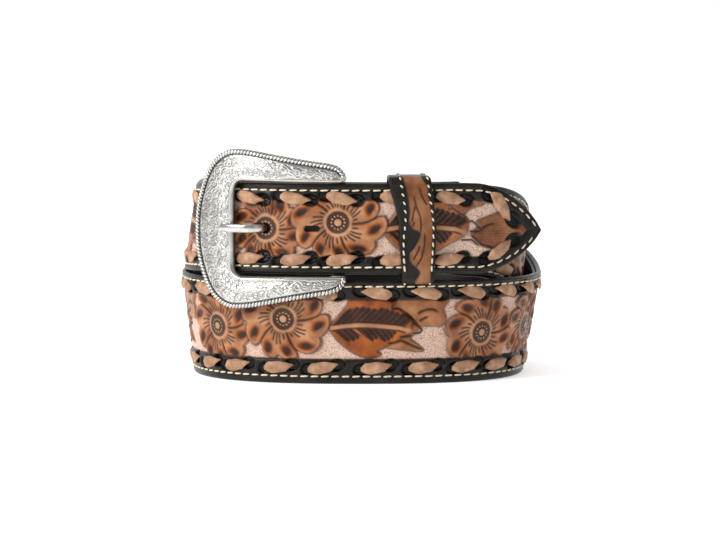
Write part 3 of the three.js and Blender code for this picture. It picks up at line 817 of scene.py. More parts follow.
def carve_leaf(face, start, size=1.0, lift=0.0, dull=0.0):
    """A feathered leaf: light stem, dark veined halves and amber margins."""
    rows = face.near(start + 18 * size, 24 * size)
    if rows is None:
        return
    l = np.broadcast_to(face.along[rows, None] - start, face.across[rows].shape) / size
    v = (face.across[rows] - lift) / size
    leaf, signed = inside_outline(l, v, rounded(LEAF, 4))
    face.lay(rows, leaf, relief=-0.02 - 0.1 * smooth(signed, 0.5, 3), amber=0.9 - dull)
    face.stain(rows, ridge(signed + 0.25, 0.4) * 0.8, "cut", 0.25)
    distance, share = path_distance(l, v, LEAF_STEM)
    stem_at = np.interp(l, [p[0] for p in LEAF_STEM], [p[1] for p in LEAF_STEM])
    side = np.abs(v - stem_at)
    veins = l - 0.95 * side
    for outline in (LEAF_DARK_ABOVE, LEAF_DARK_BELOW):
        _, signed = inside_outline(l, v, rounded(outline, 4))
        ragged = signed + 0.75 * np.abs(np.sin(veins * np.pi / 2.6)) * smooth(side, 3, 5.5) - 0.35
        dark = smooth(ragged, -0.25, 0.45)
        face.stain(rows, dark * 0.96, "spot", 0.3)
        ribs = np.abs(np.sin(veins * np.pi / 2.6 + 0.6)) ** 16 * dark * smooth(side, 0.4, 1.6)
        face.relief[rows] += 0.3 * ribs
        face.mask["spot"][rows] -= 0.22 * ribs
        face.stain(rows, np.abs(np.cos(veins * np.pi / 2.6 + 0.6)) ** 8 * dark * 0.4, "cut", 0.22)
    split, _ = path_distance(l, v, [(9.6, 2.2), (13, -0.6), (16, -3.2)])
    vein = ridge(split, 0.5) * leaf
    face.lay(rows, np.clip(vein * 1.3, 0, 1), relief=0.0, amber=0.7)
    # The stem's raised rib is lightened with painted highlight.
    rib = ridge(distance, 0.85) * smooth(share, 0, 0.02)
    face.lay(rows, np.clip(rib * 1.7, 0, 1), relief=0.16, light=0.22, amber=0.3)
    for shift in (-1.25, 1.25):
        line = ridge(v - stem_at - shift, 0.34) * inside_band(l, 0.5, 32)
        face.stain(rows, line, "cut", 0.3)


BRACTS = [(26, 15.5), (49.2, 15), (48.2, 10.1), (49.4, 6), (47.8, 2.9), (42.3, 2.9), (39, 2.6),
          (36.4, 0.2), (34.2, -2.6), (36.9, -4.9), (40, -7.6), (37.8, -8.1), (32.1, -7.5),
          (27, -6.9), (23.6, -6.3), (21.1, -5.7), (24.4, -1), (26.1, 4.7)]
BRACT_CUTS = [
    [(26.4, 14.2), (26.4, 10.2), (28.7, 10.4), (31.2, 8.9), (33.4, 7.2), (35.3, 5.3), (37.7, 2.9)],
    [(29.8, 8.1), (32.3, 7.8), (34.8, 5.8), (35.3, 4.7)],
    [(33.9, 3.7), (35.3, 4.2), (37.4, 2.9), (39.2, 0.9), (38.1, -0.2), (34.6, -0.4)],
    [(36.7, 7.8), (38.7, 9.1), (41.2, 10), (43.7, 9.9), (45.7, 8.9)],
    [(37.7, 4.9), (39.4, 5.9), (41.3, 6.7)],
    [(29.1, -2.1), (32, -1.6), (35, -1.3)],
    [(23.2, -4.6), (27, -4.4), (30.4, -3.4), (35.7, -5.9), (40, -7.6)],
]


def carve_bracts(face, start):
    """Smooth bracts between a leaf and the next flower, cut round their outline; cut_bracts adds
    their long curved cuts.
    """
    rows = face.near(start + 35, 18)
    if rows is None:
        return
    l = np.broadcast_to(face.along[rows, None] - start, face.across[rows].shape)
    inside, signed = inside_outline(l, face.across[rows], rounded(BRACTS, 4))
    face.lay(rows, inside, relief=-0.04 - 0.14 * smooth(signed, 1, 5), amber=0.25, spot=0.14)
    face.stain(rows, ridge(signed + 0.25, 0.4) * 0.7, "cut", 0.2)


def cut_bracts(face, start):
    for line in BRACT_CUTS:
        carve_line(face, [(start + x, y) for x, y in line], 0.55, 0.6)


# The two visible rows of flowers: distance from the front's middle, across the strap, and reach
# along and across. They repeat on the back, a pair and a leaf in each period.
BAND_FLOWERS = [(-67.4, 1.2, (18, 17)), (-33.5, 5.6, (19.5, 18)), (53.9, -0.8, (18, 17)),
                (87, 0, (17, 16))]
BILLET_FLOWERS = [(-40.4, 0, (16.5, 15)), (-9.9, 2.7, (20, 16))]
LEAF_AFTER = 20.1
BACK_PAIR = (-67, -34)
PATTERN_PERIOD = 121.0
UPPER_PAIR = (54, 87)
UPPER_PERIOD = 127.95


def pattern_places():
    """Flowers and leaf starts along the whole strap."""
    flowers = [(TURN + s, v, reach) for s, v, reach in BAND_FLOWERS]
    flowers += [(2 * TURN + s, v, reach) for s, v, reach in BILLET_FLOWERS]
    leaves = [TURN - 33.5 + LEAF_AFTER, TURN + 87 + LEAF_AFTER]
    for k in (1, 2, 3):
        first, second = (TURN + s - k * PATTERN_PERIOD for s in BACK_PAIR)
        flowers += [(first, 0, (17, 16)), (second, 0, (18, 16))]
        leaves.append(second + LEAF_AFTER)
    for k in (1, 2):
        first, second = (TURN + s + k * UPPER_PERIOD for s in UPPER_PAIR)
        flowers += [(first, 0, (17, 15)), (second, 0, (17, 15))]
        leaves.append(second + LEAF_AFTER)
    return flowers, leaves


FLOWERS, LEAVES = pattern_places()

# Lacing: a thong passes in and out of slits in the border, once in each pitch.
LACE_LENGTH = 13.2
LACE_WIDTH = 4.9
SLIT_REACH = 6.3
SLIT_HALF = (3.9, 2.9)
LACE_PITCH = 20.5
BAND_LACES = [-76, -58, -36.8, -16.8, 6.1, 27, 47.3, 66, 84]
BILLET_LACES = [-70.5, -48.2, -27.7, -8.4, 14, 37]
POINT_LACES = [(57.8, 9.4, -46.0, 1.15), (58.2, -8.2, 38.0, 1.05)]

# Distance from the strap's middle, above and below it, on the billet and on the wider body.
LACES_ACROSS = ((12.7, 12.8), (17.0, 15.0))
PANEL_ACROSS = ((13.0, 13.0), (14.2, 11.6))


def above_and_below(rows, grow):
    """Distances above and below the middle, between those of the billet and the body."""
    return (narrow + (wide - narrow) * grow for narrow, wide in zip(*rows))


def lace_places():
    """Laces as distance along the strap, distance across, turn of their length, and size."""
    rows = [TURN + s for s in BAND_LACES]
    rows += list(np.linspace(TURN + BAND_LACES[-1], 2 * TURN + BILLET_LACES[0], 17)[1:-1])
    rows += [TURN + BAND_LACES[0] - LACE_PITCH * k for k in range(1, 19)]
    rows += [2 * TURN + s for s in BILLET_LACES]
    laces = []
    for s in rows:
        grow = float(smooth(width_at(s / TURN), BILLET_WIDTH, BODY_WIDTH))
        top, low = above_and_below(LACES_ACROSS, grow)
        flip = 180.0 if grow > 0.5 else 0.0
        laces += [(s, top, flip - 8.0, 1.0), (s, -low, 9.0, 1.0)]
    laces += [(2 * TURN + s, *rest) for s, *rest in POINT_LACES]
    return laces


LACES = lace_places()


def panel_edges(along):
    """Upper and lower edges of the tooled panel, waved between the laces of the billet."""
    t = along / TURN
    grow = smooth(width_at(t), BILLET_WIDTH, BODY_WIDTH)
    spots = np.array(sorted({s for s, _, _, size in LACES if size == 1}))
    gap = np.abs(along[:, None] - spots[None, :]).min(1)
    wave = (1 - grow) * 1.1 * np.cos(np.pi * np.clip(gap / 10.5, 0, 1))
    top, low = (edge + wave for edge in above_and_below(PANEL_ACROSS, grow))
    tip = np.minimum(half_at(t) - 6.2, (TIP_TURN * TURN - 5.6 - along) * 1.1)
    return np.minimum(top, tip), -np.minimum(low, tip)


def stitch_line(along, side):
    """How far each row of stitching lies from the middle of the strap."""
    t = along / TURN
    grow = smooth(width_at(t), BILLET_WIDTH, BODY_WIDTH)
    return half_at(t) - 3.0 + (0.6 if side > 0 else -0.3) * grow


def tooled_face(along, across):
    face = Face(along, across)
    l = np.broadcast_to(along[:, None], across.shape)
    face.relief[:] = GROUND_DEPTH
    face.mask["pebble"][:] = 1
    for start in LEAVES:
        carve_bracts(face, start)
        carve_leaf(face, start)
    carve_billet_end(face)
    for middle, side, reach in FLOWERS:
        carve_flower(face, middle, side, reach)
    for start in LEAVES:
        cut_bracts(face, start)
    top, low = panel_edges(along)
    signed = np.minimum(top[:, None] - across, across - low[:, None])
    panel = smooth(signed, -0.3, 0.3)
    rim_cut = ridge(signed, 0.42)
    for name in LAID_MASKS:
        face.mask[name] *= panel
    face.relief *= panel
    face.mask["border"] = 1 - panel
    face.relief += (1 - panel) * (-0.1 + 0.15 * smooth(-signed, 0, 2.5))
    face.relief -= 0.35 * rim_cut
    face.mask["cut"] = np.maximum(face.mask["cut"], rim_cut * 0.85)
    for s, side, turned, size in LACES:
        rows = face.near(s, 13)
        if rows is None:
            continue
        c, d = math.cos(math.radians(turned)), math.sin(math.radians(turned))
        x = ((l[rows] - s) * c + (across[rows] - side) * d) / size
        y = ((across[rows] - side) * c - (l[rows] - s) * d) / size
        for end in (-1, 1):
            slit = np.hypot((x - end * SLIT_REACH) / SLIT_HALF[0], y / SLIT_HALF[1])
            # Each slit is sunk and painted near-black as shade.
            pit_shade = 1 - smooth(slit, 0.75, 1.05)
            face.relief[rows] -= 1.6 * pit_shade
            face.mask["pit_shade"][rows] = np.maximum(face.mask["pit_shade"][rows], pit_shade)
            face.relief[rows] += 0.1 * ridge(slit - 1.2, 0.16)
    for side in (-1, 1):
        face.relief -= 0.2 * ridge(side * across - stitch_line(along, side)[:, None], 0.6)
    for i in range(HOLE_COUNT):
        s = 2 * TURN + LAST_HOLE - i * HOLE_PITCH
        length, width = TONGUE_HOLE_SIZE if i == TONGUE_HOLE else FREE_HOLE_SIZE
        rows = face.near(s, 8)
        if rows is None:
            continue
        run = np.maximum(0, np.abs(l[rows] - s) - (length - width) / 2)
        # Each hole is sunk and painted near-black as shade.
        hole = 1 - smooth(np.hypot(run, across[rows]), width / 2 - 0.3, width / 2 + 0.15)
        face.relief[rows] += (-2.1 - face.relief[rows]) * hole
        face.mask["pit_shade"][rows] = np.maximum(face.mask["pit_shade"][rows], hole)
    return face


# The billet's plain end, in the same way: distance from the front's middle, and across.
BRUSHED_END = [(46, -1.8), (49.1, 1.2), (48.2, 3.3), (55.4, 6.4), (58.7, 8.5), (61, 14), (84, 14),
               (84, -14), (60, -14), (58, -8), (55.3, -7.9), (51.1, -7.1), (47.7, -4.7)]
BROWN_LOBE = [(36.5, 10.5), (38, 14), (52, 14), (51.1, 10.9), (48, 9.6), (44.7, 8.2), (42.3, 6),
              (38.6, 8.2)]
END_CUTS = [
    [(43.9, 2.5), (46.1, 3.3), (47.9, 2), (49.4, 0), (50, -1.2)],
    [(50, -1.2), (50.6, 0.8), (52.4, 1.9), (55.2, 2.5)],
    [(45, -1.2), (49.4, -0.9)],
    [(41.2, -4.8), (46.4, -4.7), (49.6, -7.3)],
    [(45.7, -2.5), (50.3, -6.6), (55.2, -7.8)],
]


def carve_billet_end(face):
    """The leaf by the keeper, and the plain brushed leather towards the point."""
    start = 2 * TURN
    carve_leaf(face, start + 9, 1.02, -2.3, 0.55)
    rows = face.near(start + 58, 26)
    if rows is None:
        return
    l = np.broadcast_to(face.along[rows, None] - start, face.across[rows].shape)
    v = face.across[rows]
    for outline in (BROWN_LOBE, BRUSHED_END):
        inside, signed = inside_outline(l, v, rounded(outline, 4))
        streaks = 0.05 * np.sin(v * 5.5 + 1.3 * np.sin(l * 0.4)) * smooth(signed, 1, 4)
        face.lay(rows, inside, relief=-0.12 + streaks, amber=0.1, spot=0.3 + 2 * streaks)
        face.stain(rows, ridge(signed + 0.2, 0.38) * 0.8, "cut", 0.25)
    for line in END_CUTS:
        carve_line(face, [(start + x, y) for x, y in line], 0.5, 0.4)


# Strap pieces

EDGE = [(1.0, 0.0), (0.5, -0.14), (0.16, -0.46), (0.0, -1.0), (0.0, -1.75), (0.14, -2.2),
        (0.55, -2.45)]
BACK_DEPTH = -2.45

# Where the strap's pieces meet, in turns of the coil, and their mesh steps. What the photograph
# shows is meshed finely.
BAND_START, BAND_END, BILLET_START = 0.70, 1.30, 1.72
FRONT_STEP, BACK_STEP = 0.43, 0.85


def with_black_back(masks, columns):
    """The masks of a carved face, with the plain black of its edges and back after them."""
    return {key: np.concatenate([mask, np.full((len(mask), columns), float(key == "border"))], 1)
            for key, mask in masks.items()}


def strap_piece(name, start, end, step, material):
    """A run of the tooled layer, as a closed skin with its relief on the outer face."""
    tip_start = TIP_TURN - TAPER_LENGTH / TURN
    count = max(2, int((end - start) * TURN / step))
    t = np.linspace(start, end, count)
    if end > tip_start:
        body = np.linspace(start, tip_start, int((tip_start - start) * TURN / step))
        q = np.linspace(0, 1, int(TAPER_LENGTH / step * 1.25))[1:]
        t = np.concatenate([body, tip_start + (end - tip_start) * (1 - (1 - q) ** 1.4)])
    half = half_at(t)[:, None]
    rows = int(BODY_WIDTH / step)
    q = np.linspace(-1, 1, rows)[None, :]
    margin = np.minimum(1.0, half * 0.5)
    across = q * (half - margin)
    face = tooled_face(t * TURN, across)
    top = STRAP_THICK / 2
    front = on_strap(t[:, None], across, top + face.relief)
    rim = np.array(EDGE)
    inward, drop = rim[1:, 0][None, :] * margin, rim[1:, 1][None, :]
    right = on_strap(t[:, None], half - inward, top + drop)
    back_q = np.linspace(0.93, -0.93, 9)[None, :]
    back = on_strap(t[:, None], back_q * half, top + BACK_DEPTH + 0 * back_q)
    left = on_strap(t[:, None], -(half - inward)[:, ::-1], top + drop[:, ::-1])
    rings = np.concatenate([front, right, back, left], 1)
    others = rings.shape[1] - rows
    mesh = skin(name, rings, with_black_back(face.mask, others))
    return add_piece(name, mesh, material, ["strap_outer"])


BAR_S = -9
BAR_RADIUS = 1.75
BAR_OFFSET = -(STRAP_THICK / 2 + PLY_GAP + TOOLED_THICK + CLEAR + BAR_RADIUS)
FOLD_INNER = BAR_RADIUS + CLEAR
TAB_LENGTH = 54
TAB_OFFSET = -(STRAP_THICK * 1.5 + PLY_GAP + CLEAR + 0.05)
TAB_BACK = TAB_OFFSET - TOOLED_THICK


def fold_piece(material):
    """The skived end: round the hinge bar and back behind the strap."""
    path = [(BAR_S + TAB_LENGTH - s, TAB_OFFSET) for s in np.linspace(0, TAB_LENGTH - 11.5, 20)]
    path += [(BAR_S + 6, (TAB_OFFSET + BAR_OFFSET - FOLD_INNER) / 2 + 0.3),
             (BAR_S, BAR_OFFSET - FOLD_INNER)]
    for a in np.linspace(np.pi, 0, 25)[1:]:
        path.append((BAR_S - math.sin(a) * FOLD_INNER, BAR_OFFSET + math.cos(a) * FOLD_INNER))
    path = np.array(path)
    run = np.gradient(path, axis=0)
    run /= np.hypot(run[:, 0], run[:, 1])[:, None]
    out = np.stack([-run[:, 1], run[:, 0]], -1)
    out *= np.where(((path - (BAR_S, BAR_OFFSET)) * out).sum(1) < 0, -1, 1)[:, None]
    out[:20] = (0, -1)
    half = BILLET_WIDTH / 2
    profile = [(-half + 0.5, 0), (half - 0.5, 0), (half, 0.5), (half, TOOLED_THICK - 0.5),
               (half - 0.5, TOOLED_THICK), (0, TOOLED_THICK), (-half + 0.5, TOOLED_THICK),
               (-half, TOOLED_THICK - 0.5), (-half, 0.5)]
    rings = np.stack([place(path[:, 0] + out[:, 0] * depth, path[:, 1] + out[:, 1] * depth,
                            BILLET_HEIGHT + z) for z, depth in profile], 1)
    mesh = skin("strap_fold", rings)
    return add_piece("strap_fold", mesh, material, ["strap_outer"])


def lining_piece(material):
    end = TIP_TURN - 0.7 / TURN
    tip_start = TIP_TURN - TAPER_LENGTH / TURN
    q = np.linspace(0, 1, 24)[1:]
    t = np.concatenate([np.linspace(2 / TURN, tip_start, 420),
                        tip_start + (end - tip_start) * (1 - (1 - q) ** 1.5)])
    half = np.maximum(0.4, half_at(t) - 0.5)[:, None]
    profile = [(1, -0.9), (1, -1.6), (0.985, -2.0), (0.5, -2.0), (0, -2.0), (-0.5, -2.0),
               (-0.985, -2.0), (-1, -1.6), (-1, -0.9), (-0.985, -0.5), (0, -0.5), (0.985, -0.5)]
    rings = np.stack([on_strap(t[:, None], q * half, depth)[:, 0] for q, depth in profile], 1)
    mesh = skin("strap_lining_skin", rings)
    return add_piece("strap_lining_skin", mesh, material, ["strap_lining"])


def strap_frame(along, across, depth):
    """Points on the strap with their direction along it and the way they face."""
    t = np.asarray(along) / TURN
    here = on_strap(t, across, depth)
    ahead = on_strap(t + 0.5 / TURN, across, depth)
    out = on_strap(t, across, depth + 1)
    return here, ahead - here, out - here


def lace_pattern():
    """One thong: it rises from a slit, crosses the border and dives to a point."""
    shares = [(-1, 0.36), (-0.94, 0.46), (-0.8, 0.72), (-0.6, 0.98), (-0.48, 1.04), (-0.1, 1),
              (0.22, 0.97), (0.34, 0.92), (0.6, 0.6), (0.84, 0.3), (1, 0.14)]
    y = np.array([-1, -0.95, -0.6, -0.5, 0.4, 0.5, 0.94, 1, 0.8, 0, -0.8])
    z = np.array([-0.5, -0.2, 0.1, 0.2, 0.42, 0.34, -0.12, -0.5, -0.7, -0.7, -0.7])
    rings = []
    for x, wide in shares:
        rise = 1.1 * (1 - abs(x) ** 2.2) - 1.1 * abs(x) ** 5
        slant = 0.13 * LACE_LENGTH * wide
        along = x * LACE_LENGTH / 2 - y * slant * (1 - abs(x))
        rings.append(np.stack([along, y * LACE_WIDTH / 2 * wide, rise * 0.72 + z * 0.95], -1))
    return skin("lace_pattern", np.array(rings))


def lace_piece(material):
    along, side, turned, size = np.array(LACES).T
    turned = np.radians(turned)
    here, run, out = strap_frame(along, side, STRAP_THICK / 2 - 0.05)
    up = np.cross(out, run)
    up /= np.linalg.norm(up, axis=1)[:, None]
    run /= np.linalg.norm(run, axis=1)[:, None]
    run = run * np.cos(turned)[:, None] + up * np.sin(turned)[:, None]
    mesh = row_mesh("edge_lacing", here, run, out, lace_pattern(), material, size,
                    uneven=0.05, seed=3)
    return add_piece("edge_lacing", mesh, material, ["strap_outer"])


STITCH_PITCH = 4.4
STITCH_LENGTH = 3.5
THREAD = 0.38


def stitch_pattern(length=STITCH_LENGTH, thread=THREAD):
    rings = []
    for x, size in ((-1, 0.25), (-0.82, 0.75), (-0.45, 1), (0.45, 1), (0.82, 0.75), (1, 0.25)):
        a = np.arange(7) * 2 * np.pi / 7
        sink = -0.35 * abs(x) ** 4
        rings.append(np.stack([np.full(7, x * length / 2), np.cos(a) * thread * size,
                               np.sin(a) * thread * size * 0.8 + sink], -1))
    return skin("stitch_pattern", np.array(rings))


def read_line(wanted, run, points):
    """Points of a line at the wanted distances, from the distance of each of its points."""
    return np.stack([np.interp(wanted, run, points[:, k]) for k in range(points.shape[1])], -1)


def evenly(points, pitch, start=0.0):
    """Distances along a line of points, one pitch apart."""
    step = np.linalg.norm(np.diff(points, axis=0), axis=1)
    run = np.concatenate([[0], np.cumsum(step)])
    return np.arange(start, run[-1], pitch), run


def strap_stitches(material):
    along = np.concatenate([np.arange(TURN * 0.02, (TIP_TURN * TURN) - 26, 1.0),
                            TIP_TURN * TURN - 26 + 26 * (1 - (1 - np.linspace(0, 0.83, 60)) ** 1.3)])
    heres, runs, outs = [], [], []
    for side in (-1, 1):
        inset = stitch_line(along, side)
        line, _, out = strap_frame(along, side * inset, STRAP_THICK / 2 + 0.05)
        keep = inset > 0.8
        line, out = line[keep], out[keep]
        wanted, run = evenly(line, STITCH_PITCH)
        here = read_line(wanted, run, line)
        ahead = read_line(wanted + 0.5, run, line)
        behind = read_line(wanted - 0.5, run, line)
        heres.append(here)
        runs.append(ahead - behind)
        outs.append(read_line(wanted, run, out))
    here, run, out = (np.concatenate(x) for x in (heres, runs, outs))
    mesh = row_mesh("seam_stitches", here, run, out, stitch_pattern(), material,
                    skew=math.radians(3), uneven=0.03, seed=5)
    return add_piece("seam_stitches", mesh, material, ["strap_outer"])


# Keeper

KEEPER_S = 22.9
KEEPER_THICK = 3
KEEPER_STEPS = 320
KEEPER_LEFT = [(0, 6.6), (0.5, 7.9), (1, 12.2)]
KEEPER_RIGHT = [(0, 6.6), (0.5, 7.5), (1, 5.4)]


def keeper_edges(height):
    """How far the keeper's left and right edges lie from its place, by height."""
    high = BILLET_HEIGHT + BILLET_WIDTH / 2 + KEEPER_THICK
    share = (height - BAND_TOP) / (high - BAND_TOP)
    return eased(KEEPER_LEFT, share), eased(KEEPER_RIGHT, share)


def keeper_loop():
    front, back = STRAP_THICK / 2 + 0.5, TAB_BACK - 0.4
    low = BILLET_HEIGHT - BILLET_WIDTH / 2 - CLEAR
    high = BILLET_HEIGHT + BILLET_WIDTH / 2 + CLEAR + 0.1
    face, rear = front + KEEPER_THICK, back - KEEPER_THICK * 0.8
    roof, floor = high + KEEPER_THICK * 0.97, BAND_TOP + 0.3
    return [
        ((front, low + 2), (face, low + 2)), ((front, high - 8), (face, high - 8)),
        ((front, high - 0.3), (face - 0.1, high + 0.6)),
        ((front - 0.3, high), (face - 1.3, roof - 0.5)), ((front - 3, high), (front - 1, roof)),
        ((back + 3, high), (back + 2, roof)), ((back + 0.3, high), (back - 1, roof - 0.5)),
        ((back, high - 0.3), (rear, high + 0.8)), ((back, low + 10), (rear, low + 10)),
        ((back, low + 0.3), (rear, low - 0.7)), ((back + 0.3, low), (back - 1.4, floor + 0.25)),
        ((back + 3.6, low), (back + 1.6, floor)), ((front - 1.1, low), (front - 0.15, floor)),
        ((front - 0.3, low), (front + 0.4, floor - 1.35)),
        ((front - 0.1, low + 0.1), (face - 1.1, floor - 1.55)),
        ((front, low + 0.4), (face - 0.1, floor - 0.45)),
    ]


def even_loop(points):
    """A closed line of points resampled evenly and softened at its corners."""
    p = np.vstack([points, points[:1]])
    run = np.concatenate([[0], np.cumsum(np.hypot(*np.diff(p, axis=0).T))])
    wanted = np.linspace(0, run[-1], KEEPER_STEPS, endpoint=False)
    line = read_line(wanted, run, p)
    for _ in range(6):
        line = (np.roll(line, 1, axis=0) + 2 * line + np.roll(line, -1, axis=0)) / 4
    return line


def keeper_walls():
    """The keeper's inner and outer lines, point by point."""
    return (even_loop(np.array(side, float)) for side in zip(*keeper_loop()))


def keeper_seams(height):
    """Where the two seams run, from the keeper's place, by height."""
    left, right = keeper_edges(height)
    share = smooth(height, BAND_TOP, BILLET_HEIGHT + BILLET_WIDTH / 2)
    return -left + 1.2 + 3.6 * share ** 2, right - 1.5 - 0.3 * share


# The keeper's carving: the tan leather's edge as height from the billet's middle and across,
# and the cuts on it as across and height.
KEEPER_TAN_EDGE = [(-22, -1.5), (-18.5, 0.5), (-16, -0.8), (-13.5, -3.2), (-10, -3.4), (-7, -1.2),
                   (-2.5, 0.8), (-0.8, 0.2), (0.6, -2.4), (3.5, -3.9), (7, -3.6), (11, -4.0),
                   (15, -4.6), (19, -5.6), (23, -6.8)]
KEEPER_CUTS = [
    [(-2.0, 14.5), (-1.2, 10), (0.6, 5.5), (1.0, 1.5), (0.7, -1.5)],
    [(-1.6, 3.2), (-2.4, 1.4)],
    [(2.4, -1), (2.5, -6), (1.2, -12), (-1.8, -17)],
    [(0.6, -6.5), (-0.2, -9), (-1.9, -12.4)],
    [(-1.4, 10), (-2.2, 6.5), (-2.6, 3.5)],
    [(0.2, 17.5), (1.4, 13.5), (3.2, 10.5)],
]


def keeper_relief(across, height, front):
    """Relief and masks of the keeper: carved tan leaves against a dark ground."""
    mask = {name: np.zeros(across.shape) for name in MASKS}
    middle = height - BILLET_HEIGHT
    edges = finer(np.array(KEEPER_TAN_EDGE, float), 6)
    tan_edge = np.interp(middle, edges[:, 0], edges[:, 1])
    seam_left, seam_right = keeper_seams(height)
    inner = inside_band(across, seam_left + 1.0, seam_right - 0.4) * front
    corner = smooth(middle + 1.6 * across, 22.5, 24.5)
    tan = smooth(across - tan_edge, -0.3, 0.3) * inner * (1 - corner)
    margin = ridge(across - tan_edge, 0.45) * inner * (1 - corner)
    relief = -0.4 * (inner - tan) - 0.15 * margin + 0.15 * tan
    mask["cut"] = margin * 0.8
    for line in KEEPER_CUTS:
        distance, share = path_distance(across, middle, line)
        amount = ridge(distance, 0.36) * tan * smooth(share, 0, 0.1)
        mask["cut"] = np.maximum(mask["cut"], amount)
        relief -= 0.3 * amount
    mask["amber"] = 0.2 * tan
    mask["spot"] = 0.28 * tan
    mask["border"] = 1 - tan
    return relief, mask


def keeper_piece(material):
    inner, outer = keeper_walls()
    left, right = keeper_edges(outer[:, 1:2])
    q = np.concatenate([[0.015], np.linspace(0.05, 0.95, 44), [0.985]])[None, :]
    crown = 0.35 * (1 - (2 * q - 1) ** 2) - 0.35
    out_dir = outer - inner
    out_dir /= np.hypot(out_dir[:, 0], out_dir[:, 1])[:, None]
    across = -left + (left + right) * q
    height = np.broadcast_to(outer[:, 1:2], across.shape)
    front = smooth(outer[:, 0:1], 2.2, 4.2) * np.ones_like(across)
    relief, mask = keeper_relief(across, height, front)
    seam_left, seam_right = keeper_seams(outer[:, 1:2])
    groove = ridge(across - seam_left, 0.5) + ridge(across - seam_right, 0.5)
    relief = relief - 0.15 * groove + crown
    relief[:, 0] -= 0.45
    relief[:, -1] -= 0.45
    rings_out = outer[:, None, :] + out_dir[:, None, :] * relief[:, :, None]
    skin_out = place(KEEPER_S + across, rings_out[:, :, 0], rings_out[:, :, 1])
    left, right = keeper_edges(inner[:, 1:2])
    inside_q = np.array([[1.0, 0.97, 0.5, 0.03, 0.0]])
    inside_depth = np.array([0.7, 0.05, 0.0, 0.05, 0.7])
    rings_in = inner[:, None, :] + out_dir[:, None, :] * inside_depth[None, :, None]
    skin_in = place(KEEPER_S - left + (left + right) * inside_q, rings_in[:, :, 0],
                    rings_in[:, :, 1])
    rings = np.concatenate([skin_out, skin_in], 1)
    values = with_black_back(mask, inside_q.shape[1])
    mesh = skin("keeper_loop", rings, values, loop=True)
    return add_piece("keeper_loop", mesh, material, ["keeper"])


def keeper_stitches(material):
    inner, outer = keeper_walls()
    heres, runs, outs = [], [], []
    for side in (0, 1):
        closed = np.vstack([outer, outer[:1]])
        line = place(KEEPER_S + keeper_seams(closed[:, 1])[side], closed[:, 0], closed[:, 1])
        facing = place(KEEPER_S, *outer.T) - place(KEEPER_S, *inner.T)
        facing /= np.linalg.norm(facing, axis=1)[:, None]
        facing = np.vstack([facing, facing[:1]])
        wanted, run = evenly(line, 3.5, 1.0)
        wanted = wanted[:-1]
        here = read_line(wanted, run, line)
        ahead = read_line(wanted + 0.5, run, line)
        way = read_line(wanted, run, facing)
        heres.append(here - way * 0.3)
        runs.append(ahead - here)
        outs.append(way)
    here, run, out = (np.concatenate(x) for x in (heres, runs, outs))
    mesh = row_mesh("keeper_stitches", here, run, out, stitch_pattern(2.8, 0.4), material,
                    skew=math.radians(4), uneven=0.03, seed=9)
    return add_piece("keeper_stitches", mesh, material, ["keeper"])


# Buckle

BUCKLE_LEFT = -70.6
BUCKLE_WIDTH = 63.6
ARM_HEIGHT = 14.05
WINDOW_HALF = BILLET_WIDTH / 2 + 0.4
BUCKLE_HALF_HEIGHT = WINDOW_HALF + ARM_HEIGHT
BUCKLE_LIFT = -0.3
RIM_TILT = 0.012
FRAME_BACK = STRAP_THICK / 2 + 1.4
FRAME_THICK = 2.9
FRAME_TOP = FRAME_BACK + FRAME_THICK
BEAD = 2.4
BEVEL = 1.9
RIM = [(0, 0), (0.003, 0.18), (0.018, 0.37), (0.042, 0.54), (0.073, 0.7), (0.112, 0.83),
       (0.158, 0.92), (0.212, 0.98), (0.275, 1), (0.385, 0.98), (0.5, 0.94), (0.65, 0.888),
       (0.8, 0.842), (0.9, 0.812), (0.955, 0.772), (0.988, 0.705), (1, 0.63)]
WINDOW = [(0.256, 0), (0.256, 0.28), (0.256, 0.55), (0.257, 0.76), (0.262, 0.88),
          (0.272, 0.95), (0.286, 0.99), (0.3, 1.01), (0.33, 1.02), (0.42, 1.015), (0.52, 1.01),
          (0.65, 1.005), (0.8, 1), (0.88, 1), (0.93, 1), (0.965, 1.005), (0.985, 1.035)]


def whole_outline(shares, high):
    """The upper half of an outline, mirrored below and joined at the left."""
    upper = np.array([(BUCKLE_LEFT + BUCKLE_WIDTH * x, high * z) for x, z in shares])
    lower = upper[1:][::-1] * (1, -1)
    return np.vstack([lower, upper])


def finer(points, per_span):
    """A smooth open line through points, with more points in between."""
    p = np.vstack([2 * points[0] - points[1], points, 2 * points[-1] - points[-2]])
    return np.vstack([curve_spans(p[:-3], p[1:-2], p[2:-1], p[3:], per_span), points[-1:]])


def on_buckle(x, z, out):
    """Points over the front by x, height from the buckle's middle, and distance out."""
    s = distance_at(x, FRAME_BACK + FRAME_THICK / 2)
    return place(s, out, height_at(2 + s / TURN) + BUCKLE_LIFT + z)


def frame_lines(per_span=22):
    rim = finer(whole_outline(RIM, BUCKLE_HALF_HEIGHT), per_span)
    rim[:, 1] += RIM_TILT * (rim[:, 0] - BUCKLE_LEFT - BUCKLE_WIDTH / 2)
    window = finer(whole_outline(WINDOW, WINDOW_HALF), per_span)
    return rim, window


def scroll(cx, cy, radius, turns, start, hand):
    """A spiral line from its outer end to its middle."""
    q = np.linspace(0, 1, int(26 * turns))
    a = start + hand * q * turns * 2 * np.pi
    r = radius * (1 - 0.88 * q ** 0.8)
    return np.stack([cx + r * np.cos(a), cy + r * np.sin(a)], -1)


